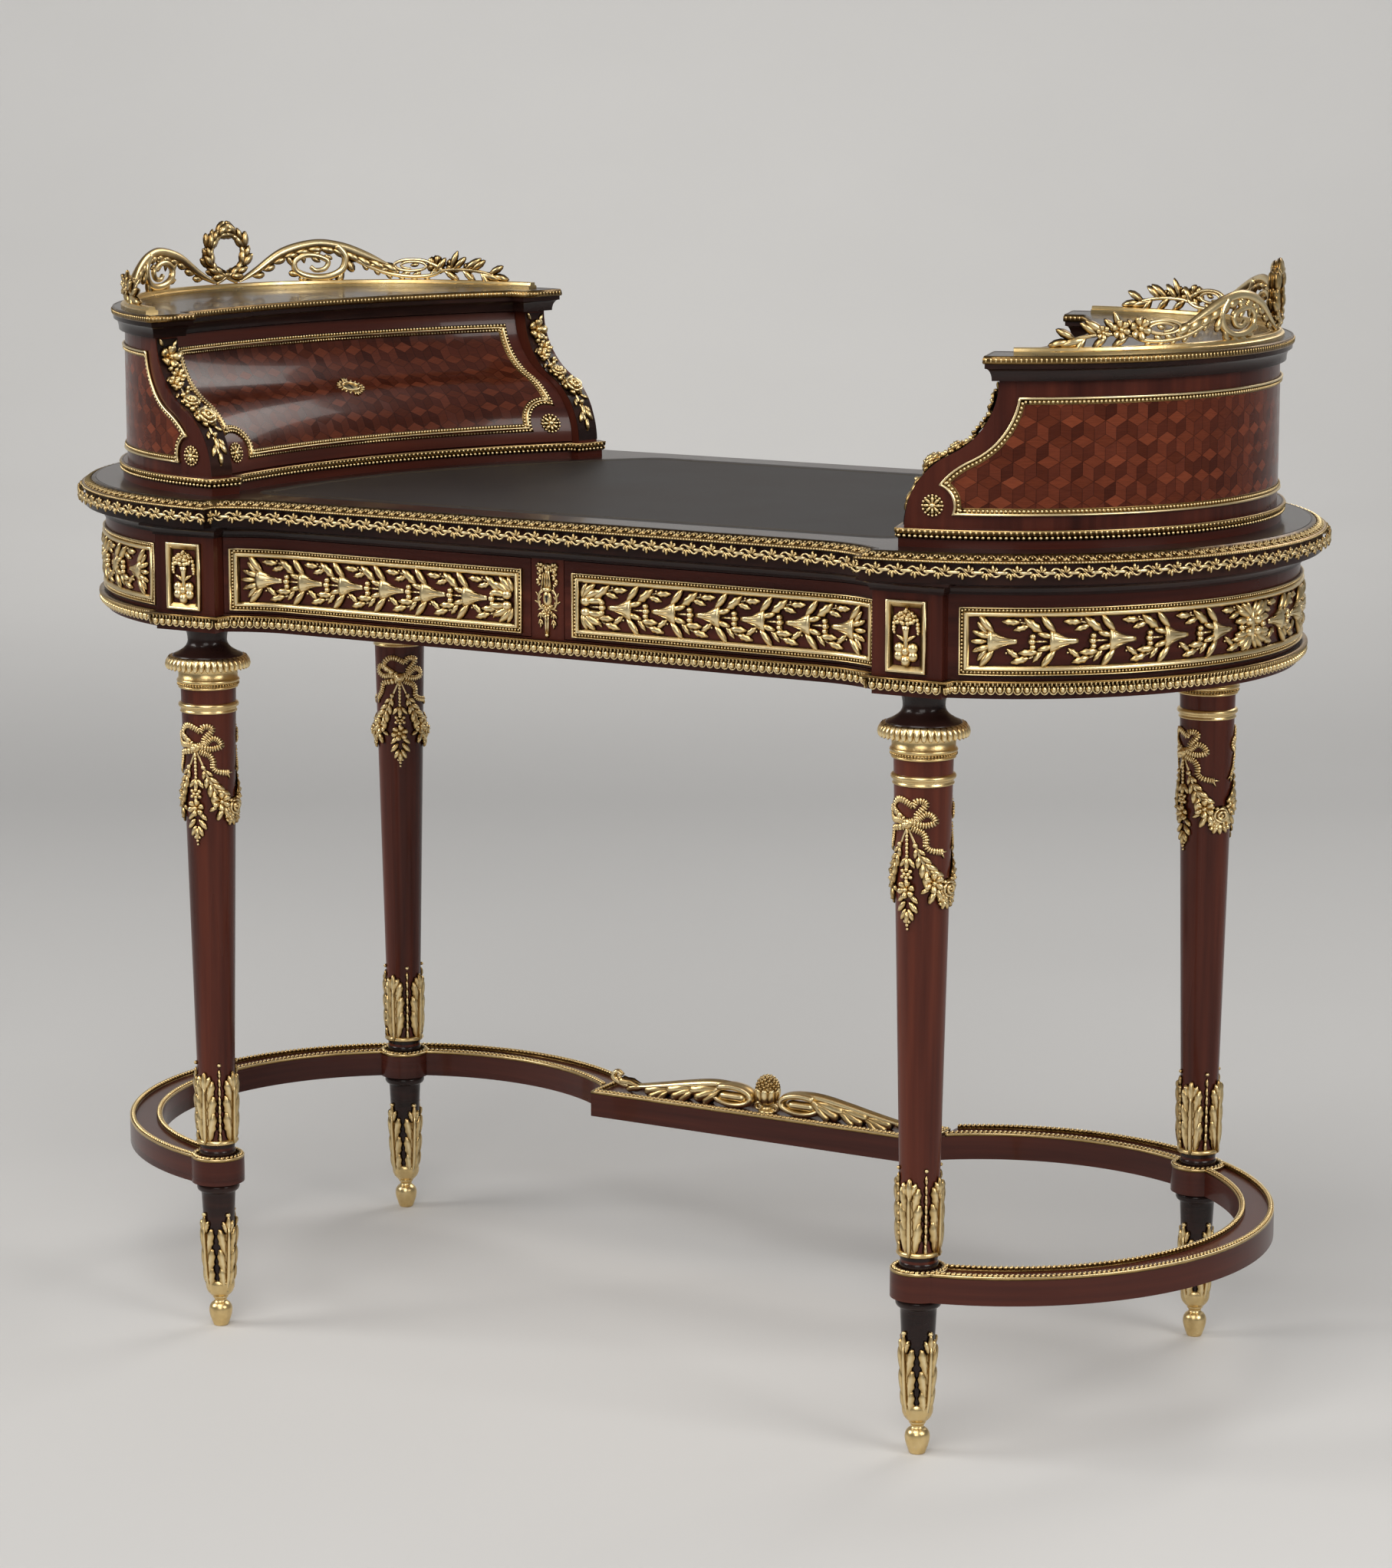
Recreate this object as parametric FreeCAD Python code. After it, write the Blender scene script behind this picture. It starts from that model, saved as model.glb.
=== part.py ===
import FreeCAD, Part
import math
import os

# A kidney-shaped writing desk on four turned legs, with two frieze drawers, a crescent
# cabinet with one drawer on each round end, pierced galleries and a low shaped stretcher.
# Millimetres. +Z is up, the sitter is on the -Y side, and the origin is on the floor
# under the middle of the desk. The right half is built and mirrored to the left.

V = FreeCAD.Vector

# Plan of the frieze
lobe_x = 316.0          # centre of each round end, from the middle
frieze_r = 252.0        # face of the frieze round that centre
front_recess = 30.0     # drawer fronts stand this far behind the corner blocks
cove_r = 114.0          # hollow curve from the drawer fronts to a block
cove_span = 60.0        # its length along X
leg_x = 355.5           # front legs, from the middle
block_w = 63.0          # square block over each leg
back_leg_turn = 60.0    # back legs, degrees round the lobe from the side
frieze_wall = 18.0

# Heights
desk_h = 760.0          # writing surface
top_t = 24.0
frieze_h = 94.0
stretcher_z = 136.0     # underside of the stretcher
stretcher_t = 22.0
foot_h = 28.0

# Top board and its gilt edge
top_edge_out = 18.0     # lower part of the edge stands this far outside the frieze
band_in = 8.0           # inner line of the gilt band, outside the frieze
band_out = 22.0
band_h = 7.0
shoulder_x = 339.0      # where the top breaks forward over the front legs
vine_t = 8.0
vine_h = 11.0
vine_gap = 1.0          # vine below the gilt band
leather_t = 1.5
leather_margin = 22.0   # leather stops this far behind the frieze's face
leather_gap = 20.0      # and this far from the drawer fronts of the cabinets
leather_corner_r = 30.0

# Frieze mouldings, rails and frames
cornice_h = 10.0        # dark moulding under the top
cornice_out = 10.0
egg_drop = 4.0          # plain lip under the egg-and-dart band
egg_h = 11.0
egg_out = 8.0
bottom_rail_h = 16.0
rail_depth = 30.0
stile_w = 32.0
dust_t = 8.0
dust_lift = 4.0
frame_w = 6.0           # width of the gilt frames on the frieze
frame_t = 4.0
frame_inset = 5.0       # drawer frame to the outer end of the front
frame_stile_inset = 8.0  # and to its inner end, by the stile
frame_rise = 3.0        # frames above the bottom rail
frame_drop = 10.0       # and below the top rail
block_frame_drop = 6.0  # the taller frames over the legs below the top rail
mount_drop = 3.0        # keyhole mount below the top rail
block_frame_w = 36.0
panel_gap = 2.0         # degrees between a curved panel and the block beside it
stile_mount_w = 20.0

# Frieze drawers
drawer_gap = 0.8        # running gap round a drawer front
slide_gap = 0.3         # drawer on its runner
drawer_front_t = 18.0
drawer_side_t = 10.0
drawer_length = 345.0
drawer_side_h = 56.0
drawer_bottom_t = 6.0
runner_w = 22.0
runner_past = 30.0      # runners go on behind a closed drawer
guide_w = 8.0
guide_h = 10.0

# Legs
tenon_r = 12.0
tenon_len = 40.0
lower_tenon_r = 7.0
lower_tenon_len = 25.0
foot_pin_r = 3.5
foot_pin_len = 16.0
fit = 0.15              # gap round a tenon, and behind a mount on a curved face
neck_h = 16.0
neck_r = 19.0
shoulder_r = 26.0
top_torus_h = 10.0
top_torus_r = 27.5
capital_h = 28.0
capital_rim_h = 11.0
capital_rim_r = 38.0
capital_collar_r = 27.0
capital_bead_h = 7.0
capital_bead_r = 28.5
ring_drop = 11.0        # plain wood between the capital and the ring under it
ring_h = 11.0
ring_t = 2.5
shaft_top_r = 24.5
shaft_low_r = 15.5
base_torus_h = 14.0
base_torus_r = 16.8
collar_h = 70.0
leaf_t = 2.5
turning_r = 15.5
turning_low_r = 12.0
turning_toe_r = 6.5
turning_toe_h = 17.0
turning_ring_r = 19.0
turning_ring_h = 9.0
sabot_h = 79.0
foot_r = 10.5
foot_belly_z = 15.0
foot_base_r = 7.5
foot_neck_r = 5.5

# Stretcher
stretcher_r = 228.0     # middle line of the curved stretcher round the lobe
stretcher_w = 30.0
boss_r = 24.0
bar_half = 180.0
bar_front = 141.0       # front edge of the straight bar
bar_w = 47.0
edging_w = 5.0
edging_h = 3.0
scroll_len = 160.0      # one half of the leaf mount on the bar
scroll_crest = 54.0     # highest point of a leaf, from the seat of the finial
scroll_h = 26.0
scroll_t = 14.0
scroll_end_h = 5.0
finial_seat_h = 14.0
finial_seat_r = 9.0
finial_h = 28.0
finial_r = 11.0

# Crescent cabinets, in a frame whose origin is the lobe's centre and whose W axis
# points out of the desk, square to the drawer front
cabinet_turn = 16.8     # degrees from X to W on the right-hand side
cabinet_r = 231.0       # outer wall round the lobe's centre
cabinet_wall = 12.0
cabinet_depth = 225.0   # hollow front to the outer wall, at the foot and the middle
face_r = 540.0          # hollow front round its axis on the far side of the desk, at its foot
pilaster_w = 27.0       # drawer front stops this far inside the outer wall's reach
ogee_back = 76.0        # the front leans back this far
pilaster_proud = 9.0
pilaster_back = 30.0    # pilaster behind the top of the ogee
plinth_h = 15.0
plinth_out = 4.0
plinth_bead_h = 8.0
plinth_bead_out = 3.0
case_h = 119.0
cornice_low_h = 10.0
cornice_low_out = 5.0
cap_h = 10.0
cap_out = 10.0
cap_band_h = 6.0
cap_band_out = 2.0
front_t = 14.0          # thickness of the hollow drawer front
front_gap = 1.0         # drawer front to the plinth, the cornice and the pilasters
case_frame_w = 6.0
case_frame_t = 4.0
case_frame_low = 11.0   # frame above the plinth
case_frame_top = 13.0   # frame below the cornice
case_frame_side = 16.0  # frame behind the ogee edge
case_frame_drop = 4.0   # frame's ends under that edge
front_frame_side = 10.0  # drawer's frame to the ends of its front
box_set = 62.0          # cabinet drawer's box, in from each end of its front
box_clear = 15.0        # corner of that box to the inside of the outer wall
box_wall = 8.0
box_h = 62.0
box_bottom_t = 5.0
case_runner_h = 4.7
case_runner_w = 20.0
case_guide_h = 16.0
case_guide_w = 9.0
lock_w = 50.0
lock_h = 36.0
lock_t = 12.0
lock_lift = 60.0        # middle of the lock above the foot of the front
escutcheon_w = 34.0
escutcheon_h = 24.0
escutcheon_t = 2.0
stile_lock_h = 44.0

# Gallery on each cabinet
rail_margin = 7.0      # cap outside the rail
rail_w = 12.0
rail_h = 6.0
gallery_t = 5.0
wreath_r = 31.0
wreath_band = 10.0
arch_turn = 25.0        # degrees from the wreath to the great scroll
arch_r = 39.0
arch_band = 8.0
curl_r = 17.0
small_turn = 43.0
small_r = 21.0
small_band = 6.0
spray_turn = 66.0
spray_h = 14.0

# Levels and places worked out from the sizes above
front_face = frieze_r - front_recess
block_in = leg_x - block_w / 2
block_out = leg_x + block_w / 2
cove_x = block_in - cove_span
frieze_top = desk_h - top_t
frieze_low = frieze_top - frieze_h
stretcher_top = stretcher_z + stretcher_t
leg_circle = frieze_r - block_w / 2
rail_top_low = frieze_top - cornice_h
rail_low_top = frieze_low + bottom_rail_h
frame_low = rail_low_top + frame_rise
frame_top = rail_top_low - frame_drop
block_frame_top = rail_top_low - block_frame_drop
case_low = desk_h + plinth_h
case_top = case_low + case_h
cap_low = case_top + cornice_low_h
cap_top = cap_low + cap_h
rail_top = cap_top + rail_h
rail_r = cabinet_r + cap_out - rail_margin - rail_w / 2
face_axis = face_r + cabinet_depth - cabinet_r
front_half = cabinet_r - pilaster_w
box_half = front_half - box_set
box_back = math.sqrt((cabinet_r - cabinet_wall - box_clear) ** 2 - box_half ** 2)
pilaster_foot = math.sqrt(face_r ** 2 - front_half ** 2) - face_axis - pilaster_proud
pilaster_rear = pilaster_foot + ogee_back + pilaster_back
reach = 2 * (lobe_x + frieze_r)
turn = math.radians(cabinet_turn)
back_leg_angle = math.radians(back_leg_turn)
back_leg_x = lobe_x + leg_circle * math.cos(back_leg_angle)
back_leg_y = leg_circle * math.sin(back_leg_angle)
leg_places = {
    "front_left": (-leg_x, -leg_circle),
    "front_right": (leg_x, -leg_circle),
    "back_left": (-back_leg_x, back_leg_y),
    "back_right": (back_leg_x, back_leg_y),
}


def save(name, solids):
    """Write one node, a single solid or a group of separate ones."""
    shape = solids[0] if len(solids) == 1 else Part.makeCompound(solids)
    shape.exportStep("parts/" + name + ".step")


def mirrored(shape):
    return shape.mirror(V(0, 0, 0), V(1, 0, 0))


def line(a, b):
    return Part.LineSegment(V(*a), V(*b)).toShape()


def arc(a, b, c):
    return Part.Arc(V(*a), V(*b), V(*c)).toShape()


def closed(edges):
    return Part.Wire(Part.__sortEdges__(edges))


def prism(wire, z0, z1):
    """A level outline drawn at height 0, raised from z0 to z1."""
    solid = Part.Face(wire).extrude(V(0, 0, z1 - z0))
    solid.translate(V(0, 0, z0))
    return solid


def box(x0, x1, y0, y1, z0, z1):
    return Part.makeBox(x1 - x0, y1 - y0, z1 - z0, V(x0, y0, z0))


def disc(x, y, r, z0, z1):
    return Part.makeCylinder(r, z1 - z0, V(x, y, z0))


def ring(x, y, r0, r1, z0, z1):
    return disc(x, y, r1, z0, z1).cut(disc(x, y, r0, z0, z1))


def pie(x, y, r, a0, a1, z0, z1):
    """A slice of a disc between two angles in degrees."""
    solid = Part.makeCylinder(r, z1 - z0, V(x, y, z0), V(0, 0, 1), a1 - a0)
    solid.rotate(V(x, y, 0), V(0, 0, 1), a0)
    return solid


def turned(path):
    """Turn a half profile of (radius, height) points about Z. A pair of points is an
    arc: the first is on the way and the second is its end."""
    edges = []
    here = path[0]
    for step in path[1:]:
        if isinstance(step[0], tuple):
            way, end = step
            edges.append(arc((here[0], 0, here[1]), (way[0], 0, way[1]), (end[0], 0, end[1])))
            here = end
        else:
            edges.append(line((here[0], 0, here[1]), (step[0], 0, step[1])))
            here = step
    edges.append(line((here[0], 0, here[1]), (path[0][0], 0, path[0][1])))
    return Part.Face(closed(edges)).revolve(V(0, 0, 0), V(0, 0, 1), 360)


def at_legs(solid):
    """One copy of a turned piece at each leg."""
    copies = []
    for x, y in leg_places.values():
        piece = solid.copy()
        piece.translate(V(x, y, 0))
        copies.append(piece)
    return copies


# Plan lines of the frieze and the top

def cove_point(x, out):
    """A point of the hollow front curve, moved out of the desk by out."""
    r = cove_r - out
    return x, -(front_face + cove_r) + math.sqrt(r ** 2 - (x - cove_x) ** 2), 0


def cove_arc(x_end, out, side):
    """The hollow curve from the straight front to x_end, on one side."""
    r = cove_r - out
    half = math.asin((x_end - cove_x) / r) / 2
    ends = [cove_point(x, out) for x in (cove_x, cove_x + r * math.sin(half), x_end)]
    return arc(*[(side * x, y, z) for x, y, z in ends])


def lobe_depth(x, r):
    return math.sqrt(r ** 2 - (x - lobe_x) ** 2)


def outline(out, stepped):
    """The desk's plan, out millimetres outside the frieze. A stepped plan follows the
    corner blocks, and the other breaks forward once, at the shoulder of the top."""
    r = frieze_r + out
    x_in = (block_in if stepped else shoulder_x) - out
    x_out = block_out + out if stepped else x_in
    corner = (x_out, -lobe_depth(x_out, r))
    start = math.atan2(corner[1], corner[0] - lobe_x)
    middle = (start + math.pi / 2) / 2
    way = (lobe_x + r * math.cos(middle), r * math.sin(middle))
    edges = [line((-cove_x, -front_face - out, 0), (cove_x, -front_face - out, 0))]
    edges.append(line((-lobe_x, r, 0), (lobe_x, r, 0)))
    for side in (-1, 1):
        edges.append(cove_arc(x_in, out, side))
        bend = [cove_point(x_in, out)[:2]]
        if stepped:
            bend += [(x_in, -r), (x_out, -r)]
        bend.append(corner)
        for a, b in zip(bend, bend[1:]):
            edges.append(line((side * a[0], a[1], 0), (side * b[0], b[1], 0)))
        edges.append(arc((side * corner[0], corner[1], 0), (side * way[0], way[1], 0),
                         (side * lobe_x, r, 0)))
    return closed(edges)


def band(out0, out1, z0, z1, stepped):
    """A band round the desk between two plan lines."""
    return prism(outline(out1, stepped), z0, z1).cut(prism(outline(out0, stepped), z0, z1))


def front_strip(out, depth, z0, z1):
    """A bar along the drawer fronts, from the face moved by out to depth behind the face."""
    moved = [line((-cove_x, -front_face, 0), (cove_x, -front_face, 0))]
    moved += [cove_arc(block_in, 0, side) for side in (-1, 1)]
    for edge in moved:
        edge.translate(V(0, -out, 0))
    tip = cove_point(block_in, 0)[1] - out
    rear = -front_face + depth
    for side in (-1, 1):
        moved.append(line((side * block_in, tip, 0), (side * block_in, rear, 0)))
    moved.append(line((-block_in, rear, 0), (block_in, rear, 0)))
    return prism(closed(moved), z0, z1)


def drawer_skin(near, far, z0, z1):
    """The space between two copies of the hollow front line, near and far behind it."""
    solid = front_strip(-near, rail_depth + front_recess, z0, z1)
    return solid.cut(front_strip(-far, rail_depth + front_recess, z0, z1))


# Top

def leather_shape(z0, z1):
    """Writing leather between the hollow cabinet fronts, with rounded corners."""
    r = face_r - leather_gap
    axis_x = lobe_x - face_axis * math.cos(turn)
    axis_y = -face_axis * math.sin(turn)
    front = -front_face + leather_margin
    rear = frieze_r - leather_margin
    solid = box(-reach, reach, front, rear, z0, z1)
    for side in (-1, 1):
        solid = solid.common(disc(side * axis_x, axis_y, r, z0, z1))
    upright = [e for e in solid.Edges if abs(e.Vertexes[0].Z - e.Vertexes[-1].Z) > leather_t / 2]
    return solid.makeFillet(leather_corner_r, upright)


def make_top():
    step = desk_h - band_h
    board = prism(outline(top_edge_out, False), frieze_top, step)
    board = board.fuse(prism(outline(band_in, False), step, desk_h)).removeSplitter()
    leather = leather_shape(desk_h - leather_t, desk_h)
    save("top_board", [board.cut(leather)])
    save("leather_panel", [leather])
    save("top_edge_band", [band(band_in, band_out, step, desk_h, False)])
    vine_top = step - vine_gap
    vine = band(top_edge_out, top_edge_out + vine_t, vine_top - vine_h, vine_top, False)
    save("vine_band", [vine])


# Frieze

def leg_hole(x, y):
    """Blind hole for a leg's tenon in the block above it."""
    return disc(x, y, tenon_r + fit, frieze_low, frieze_low + tenon_len + fit)


def front_block():
    deep = -frieze_r + block_w
    solid = box(block_in, block_out, -frieze_r, deep, frieze_low, frieze_top)
    return solid.cut(leg_hole(leg_x, -leg_circle))


def back_block():
    """Block behind the curved frieze, over a back leg."""
    solid = box(leg_circle - block_w / 2, frieze_r, -block_w / 2, block_w / 2, frieze_low, frieze_top)
    solid.rotate(V(0, 0, 0), V(0, 0, 1), back_leg_turn)
    solid.translate(V(lobe_x, 0, 0))
    solid = solid.common(disc(lobe_x, 0, frieze_r - frieze_wall, frieze_low, frieze_top))
    return solid.cut(leg_hole(back_leg_x, back_leg_y))


def side_frieze():
    wall = ring(lobe_x, 0, frieze_r - frieze_wall, frieze_r, frieze_low, frieze_top)
    wall = wall.cut(box(-reach, lobe_x, -reach, reach, frieze_low, frieze_top))
    return wall.cut(box(-reach, block_out, -reach, 0, frieze_low, frieze_top))


def window(outer, inner):
    """A frame: a face less the opening in it."""
    return outer.cut(inner)


def curved_frame(a0, a1, top):
    """Gilt frame on the curved frieze between two angles."""
    edge = math.degrees(frame_w / frieze_r)
    face = ring(lobe_x, 0, frieze_r, frieze_r + frame_t, frame_low, top)
    outer = face.common(pie(lobe_x, 0, reach, a0, a1, frame_low, top))
    hole = pie(lobe_x, 0, reach, a0 + edge, a1 - edge, frame_low + frame_w, top - frame_w)
    return window(outer, hole)


def back_panel(z0, z1, inset, out):
    """The face between the two back legs, shortened by inset at each end."""
    start = back_leg_turn + math.degrees((block_w / 2 + inset) / frieze_r) + panel_gap
    solid = box(-lobe_x, lobe_x, frieze_r, frieze_r + out, z0, z1)
    curve = ring(lobe_x, 0, frieze_r, frieze_r + out, z0, z1)
    curve = curve.common(pie(lobe_x, 0, reach, start, 90, z0, z1))
    return solid.fuse([curve, mirrored(curve)]).removeSplitter()


def block_frame():
    left = leg_x - block_frame_w / 2
    right = leg_x + block_frame_w / 2
    outer = box(left, right, -frieze_r - frame_t, -frieze_r, frame_low, block_frame_top)
    hole = box(left + frame_w, right - frame_w, -frieze_r - frame_t, -frieze_r,
               frame_low + frame_w, block_frame_top - frame_w)
    return window(outer, hole)


def make_frieze():
    wall = side_frieze()
    save("frieze_right", [wall])
    save("frieze_left", [mirrored(wall)])
    save("frieze_back", [box(-lobe_x, lobe_x, frieze_r - frieze_wall, frieze_r, frieze_low, frieze_top)])
    block = front_block()
    save("front_block_right", [block])
    save("front_block_left", [mirrored(block)])
    rear = back_block()
    save("back_leg_blocks", [rear, mirrored(rear)])
    save("front_top_rail", [front_strip(0, rail_depth, rail_top_low, frieze_top)])
    save("front_bottom_rail", [front_strip(0, rail_depth, frieze_low, rail_low_top)])
    half = stile_w / 2
    back = -front_face + rail_depth
    save("centre_stile", [box(-half, half, -front_face, back, rail_low_top, rail_top_low)])
    middle = (rail_low_top + rail_top_low) / 2
    save("stile_lock", [box(-half, half, back, back + lock_t,
                            middle - stile_lock_h / 2, middle + stile_lock_h / 2)])
    save("stile_mount", [box(-stile_mount_w / 2, stile_mount_w / 2, -front_face - frame_t, -front_face,
                             rail_low_top, rail_top_low - mount_drop)])
    dust_low = frieze_low + dust_lift
    dust = prism(outline(-frieze_wall, True), dust_low, dust_low + dust_t)
    solids = [block, mirrored(block), rear, mirrored(rear),
              front_strip(0, rail_depth, frieze_low, rail_low_top)]
    for solid in solids:
        dust = dust.cut(solid)
    for x, y in leg_places.values():
        dust = dust.cut(disc(x, y, block_w / 2, dust_low, dust_low + dust_t))
    save("dust_board", [max(dust.Solids, key=lambda solid: solid.Volume)])
    save("frieze_moulding", [band(0, cornice_out, rail_top_low, frieze_top, True)])
    egg_low = frieze_low + egg_drop
    save("egg_and_dart_band", [band(0, egg_out, egg_low, egg_low + egg_h, True)])
    first = math.degrees(math.atan2(-lobe_depth(block_out, frieze_r), block_out - lobe_x)) + panel_gap
    last = back_leg_turn - math.degrees(block_w / 2 / frieze_r) - panel_gap
    panel = curved_frame(first, last, frame_top)
    back_face = back_panel(frame_low, frame_top, 0, frame_t)
    back_hole = back_panel(frame_low + frame_w, frame_top - frame_w, frame_w, frame_t)
    save("frieze_panel_frames", [panel, mirrored(panel), window(back_face, back_hole)])
    spread = math.degrees(block_frame_w / 2 / frieze_r)
    rear_frame = curved_frame(back_leg_turn - spread, back_leg_turn + spread, block_frame_top)
    front_frame = block_frame()
    save("block_frames", [front_frame, mirrored(front_frame), rear_frame, mirrored(rear_frame)])


# Frieze drawers and what they run on

drawer_x0 = stile_w / 2 + drawer_gap
drawer_x1 = block_in - drawer_gap
drawer_z0 = rail_low_top + drawer_gap
drawer_z1 = rail_top_low - drawer_gap
drawer_side_in = drawer_x0 + guide_w
drawer_side_out = cove_x + cove_span - drawer_gap - guide_w
drawer_rear = -front_face + drawer_front_t + drawer_length
runner_top = drawer_z0 + drawer_gap
drawer_floor = runner_top + slide_gap


def drawer_front():
    skin = drawer_skin(0, drawer_front_t, drawer_z0, drawer_z1)
    return skin.common(box(drawer_x0, drawer_x1, -reach, reach, drawer_z0, drawer_z1))


def drawer_box():
    """Two sides, a back and a bottom, as separate boards."""
    top = drawer_floor + drawer_side_h
    boards = []
    space = front_strip(0, reach, drawer_floor, top).cut(drawer_skin(0, drawer_front_t, drawer_floor, top))
    inner = drawer_side_in + drawer_side_t
    outer = drawer_side_out - drawer_side_t
    for x0, x1 in ((drawer_side_in, inner), (outer, drawer_side_out)):
        boards.append(space.common(box(x0, x1, -reach, drawer_rear, drawer_floor, top)))
    boards.append(box(inner, outer, drawer_rear - drawer_side_t, drawer_rear, drawer_floor, top))
    floor_top = drawer_floor + drawer_bottom_t
    floor = box(inner, outer, -reach, drawer_rear - drawer_side_t, drawer_floor, floor_top)
    boards.append(space.common(floor))
    return boards


def drawer_frame():
    """Gilt frame on the drawer front, following its hollow curve."""
    left = drawer_x0 + frame_stile_inset
    right = drawer_x1 - frame_inset
    skin = front_strip(frame_t, rail_depth, frame_low, frame_top)
    skin = skin.cut(front_strip(0, rail_depth, frame_low, frame_top))
    outer = skin.common(box(left, right, -reach, reach, frame_low, frame_top))
    return window(outer, box(left + frame_w, right - frame_w, -reach, reach,
                             frame_low + frame_w, frame_top - frame_w))


def make_drawers():
    pieces = {"front": [drawer_front()], "box": drawer_box(), "frame": [drawer_frame()]}
    for name, solids in pieces.items():
        save("desk_drawer_" + name + "_right", solids)
        save("desk_drawer_" + name + "_left", [mirrored(solid) for solid in solids])
    dust_top = frieze_low + dust_lift + dust_t
    rail_back = -front_face + rail_depth
    rear = drawer_rear + runner_past
    right = []
    for x in (drawer_side_in, drawer_side_out - runner_w):
        right.append(box(x, x + runner_w, rail_back, rear, dust_top, runner_top))
    right.append(box(drawer_side_out + drawer_gap, drawer_side_out + drawer_gap + guide_w, rail_back, rear,
                     dust_top, runner_top + guide_h))
    half = drawer_side_in - drawer_gap
    centre = box(-half, half, rail_back + lock_t, rear, dust_top, runner_top + guide_h)
    save("drawer_runners", right + [mirrored(solid) for solid in right] + [centre])


# Legs, from the block down to the floor

neck_low = frieze_low - neck_h
torus_low = neck_low - top_torus_h
capital_low = torus_low - capital_h
ring_low = capital_low - ring_drop - ring_h
shaft_low = stretcher_top + base_torus_h
turning_top = stretcher_z - turning_ring_h
toe_top = foot_h + turning_toe_h


def shaft_radius(z):
    share = (z - shaft_low) / (capital_low - shaft_low)
    return shaft_low_r + share * (shaft_top_r - shaft_low_r)


def turning_radius(z):
    share = (z - toe_top) / (turning_top - toe_top)
    return turning_low_r + share * (turning_r - turning_low_r)


def bulge(r, z0, z1, side_r):
    """A half-round step of a turned profile between two heights, as an arc."""
    return (r, (z0 + z1) / 2), (side_r, z1)


def leg_shape():
    bottom = stretcher_z - lower_tenon_len
    path = [(0, bottom), (lower_tenon_r, bottom), (lower_tenon_r, stretcher_top)]
    path += [(shaft_low_r, stretcher_top), bulge(base_torus_r, stretcher_top, shaft_low, shaft_low_r)]
    path += [(shaft_top_r, capital_low), (shaft_top_r, torus_low)]
    path += [bulge(top_torus_r, torus_low, neck_low, shaft_top_r), (neck_r, neck_low)]
    path += [bulge((neck_r + shoulder_r) / 2 - fit, neck_low, frieze_low, shoulder_r)]
    path += [(tenon_r, frieze_low), (tenon_r, frieze_low + tenon_len), (0, frieze_low + tenon_len)]
    return turned(path)


def turning_shape():
    hole_top = foot_h + foot_pin_len + fit
    hole_low = stretcher_z - lower_tenon_len - fit
    path = [(0, hole_top), (foot_pin_r + fit, hole_top), (foot_pin_r + fit, foot_h), (turning_toe_r, foot_h)]
    path += [(turning_low_r, toe_top), (turning_r, turning_top)]
    path += [bulge(turning_ring_r, turning_top, stretcher_z, turning_r)]
    path += [(lower_tenon_r + fit, stretcher_z), (lower_tenon_r + fit, hole_low), (0, hole_low)]
    return turned(path)


def capital_shape():
    rim_low = torus_low - capital_rim_h
    bead_top = capital_low + capital_bead_h
    bore = shaft_top_r + fit
    path = [(bore, capital_low), bulge(capital_bead_r, capital_low, bead_top, capital_collar_r)]
    path += [(capital_collar_r, rim_low), (capital_rim_r, rim_low + capital_rim_h / 2)]
    path += [(capital_rim_r, torus_low), (bore, torus_low)]
    return turned(path)


def sleeve(z0, z1, radius, thick):
    """A thin turned sleeve round a tapering stem."""
    low = radius(z0) + fit
    high = radius(z1) + fit
    return turned([(low, z0), (low + thick, z0), (high + thick, z1), (high, z1)])


def sabot_shape():
    top = foot_h + sabot_h
    inner = [(turning_toe_r + fit, foot_h), (turning_low_r + fit, toe_top), (turning_radius(top) + fit, top)]
    outer = [(r + leaf_t, z) for r, z in reversed(inner)]
    return turned(inner + outer)


def foot_shape():
    pin_top = foot_h + foot_pin_len
    path = [(0, 0), (foot_base_r, 0), ((foot_r, foot_belly_z), (foot_neck_r, foot_h))]
    path += [(foot_pin_r, foot_h), (foot_pin_r, pin_top), (0, pin_top)]
    return turned(path)


def make_legs():
    for name, solid in zip(leg_places, at_legs(leg_shape())):
        save("leg_" + name, [solid])
    save("lower_leg_turnings", at_legs(turning_shape()))
    plain_ring = sleeve(ring_low, ring_low + ring_h, shaft_radius, ring_t)
    save("leg_capitals", at_legs(capital_shape()) + at_legs(plain_ring))
    save("leaf_collars", at_legs(sleeve(shaft_low, shaft_low + collar_h, shaft_radius, leaf_t)))
    save("leaf_sabots", at_legs(sabot_shape()))
    save("ball_feet", at_legs(foot_shape()))


# Stretcher

def boss_discs(r, z0, z1):
    """Round bosses under the two right-hand legs."""
    return [disc(x, y, r, z0, z1) for x, y in leg_places.values() if x > 0]


def curved_stretcher(r0, r1, z0, z1):
    """The bent part from the front leg round the lobe to the end of the bar."""
    start = math.degrees(math.atan2(-leg_circle, leg_x - lobe_x))
    end = math.degrees(math.acos((bar_half - lobe_x) / r0))
    solid = ring(lobe_x, 0, r0, r1, z0, z1).common(pie(lobe_x, 0, reach, start, end, z0, z1))
    return solid.common(box(bar_half, reach, -reach, reach, z0, z1))


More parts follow.
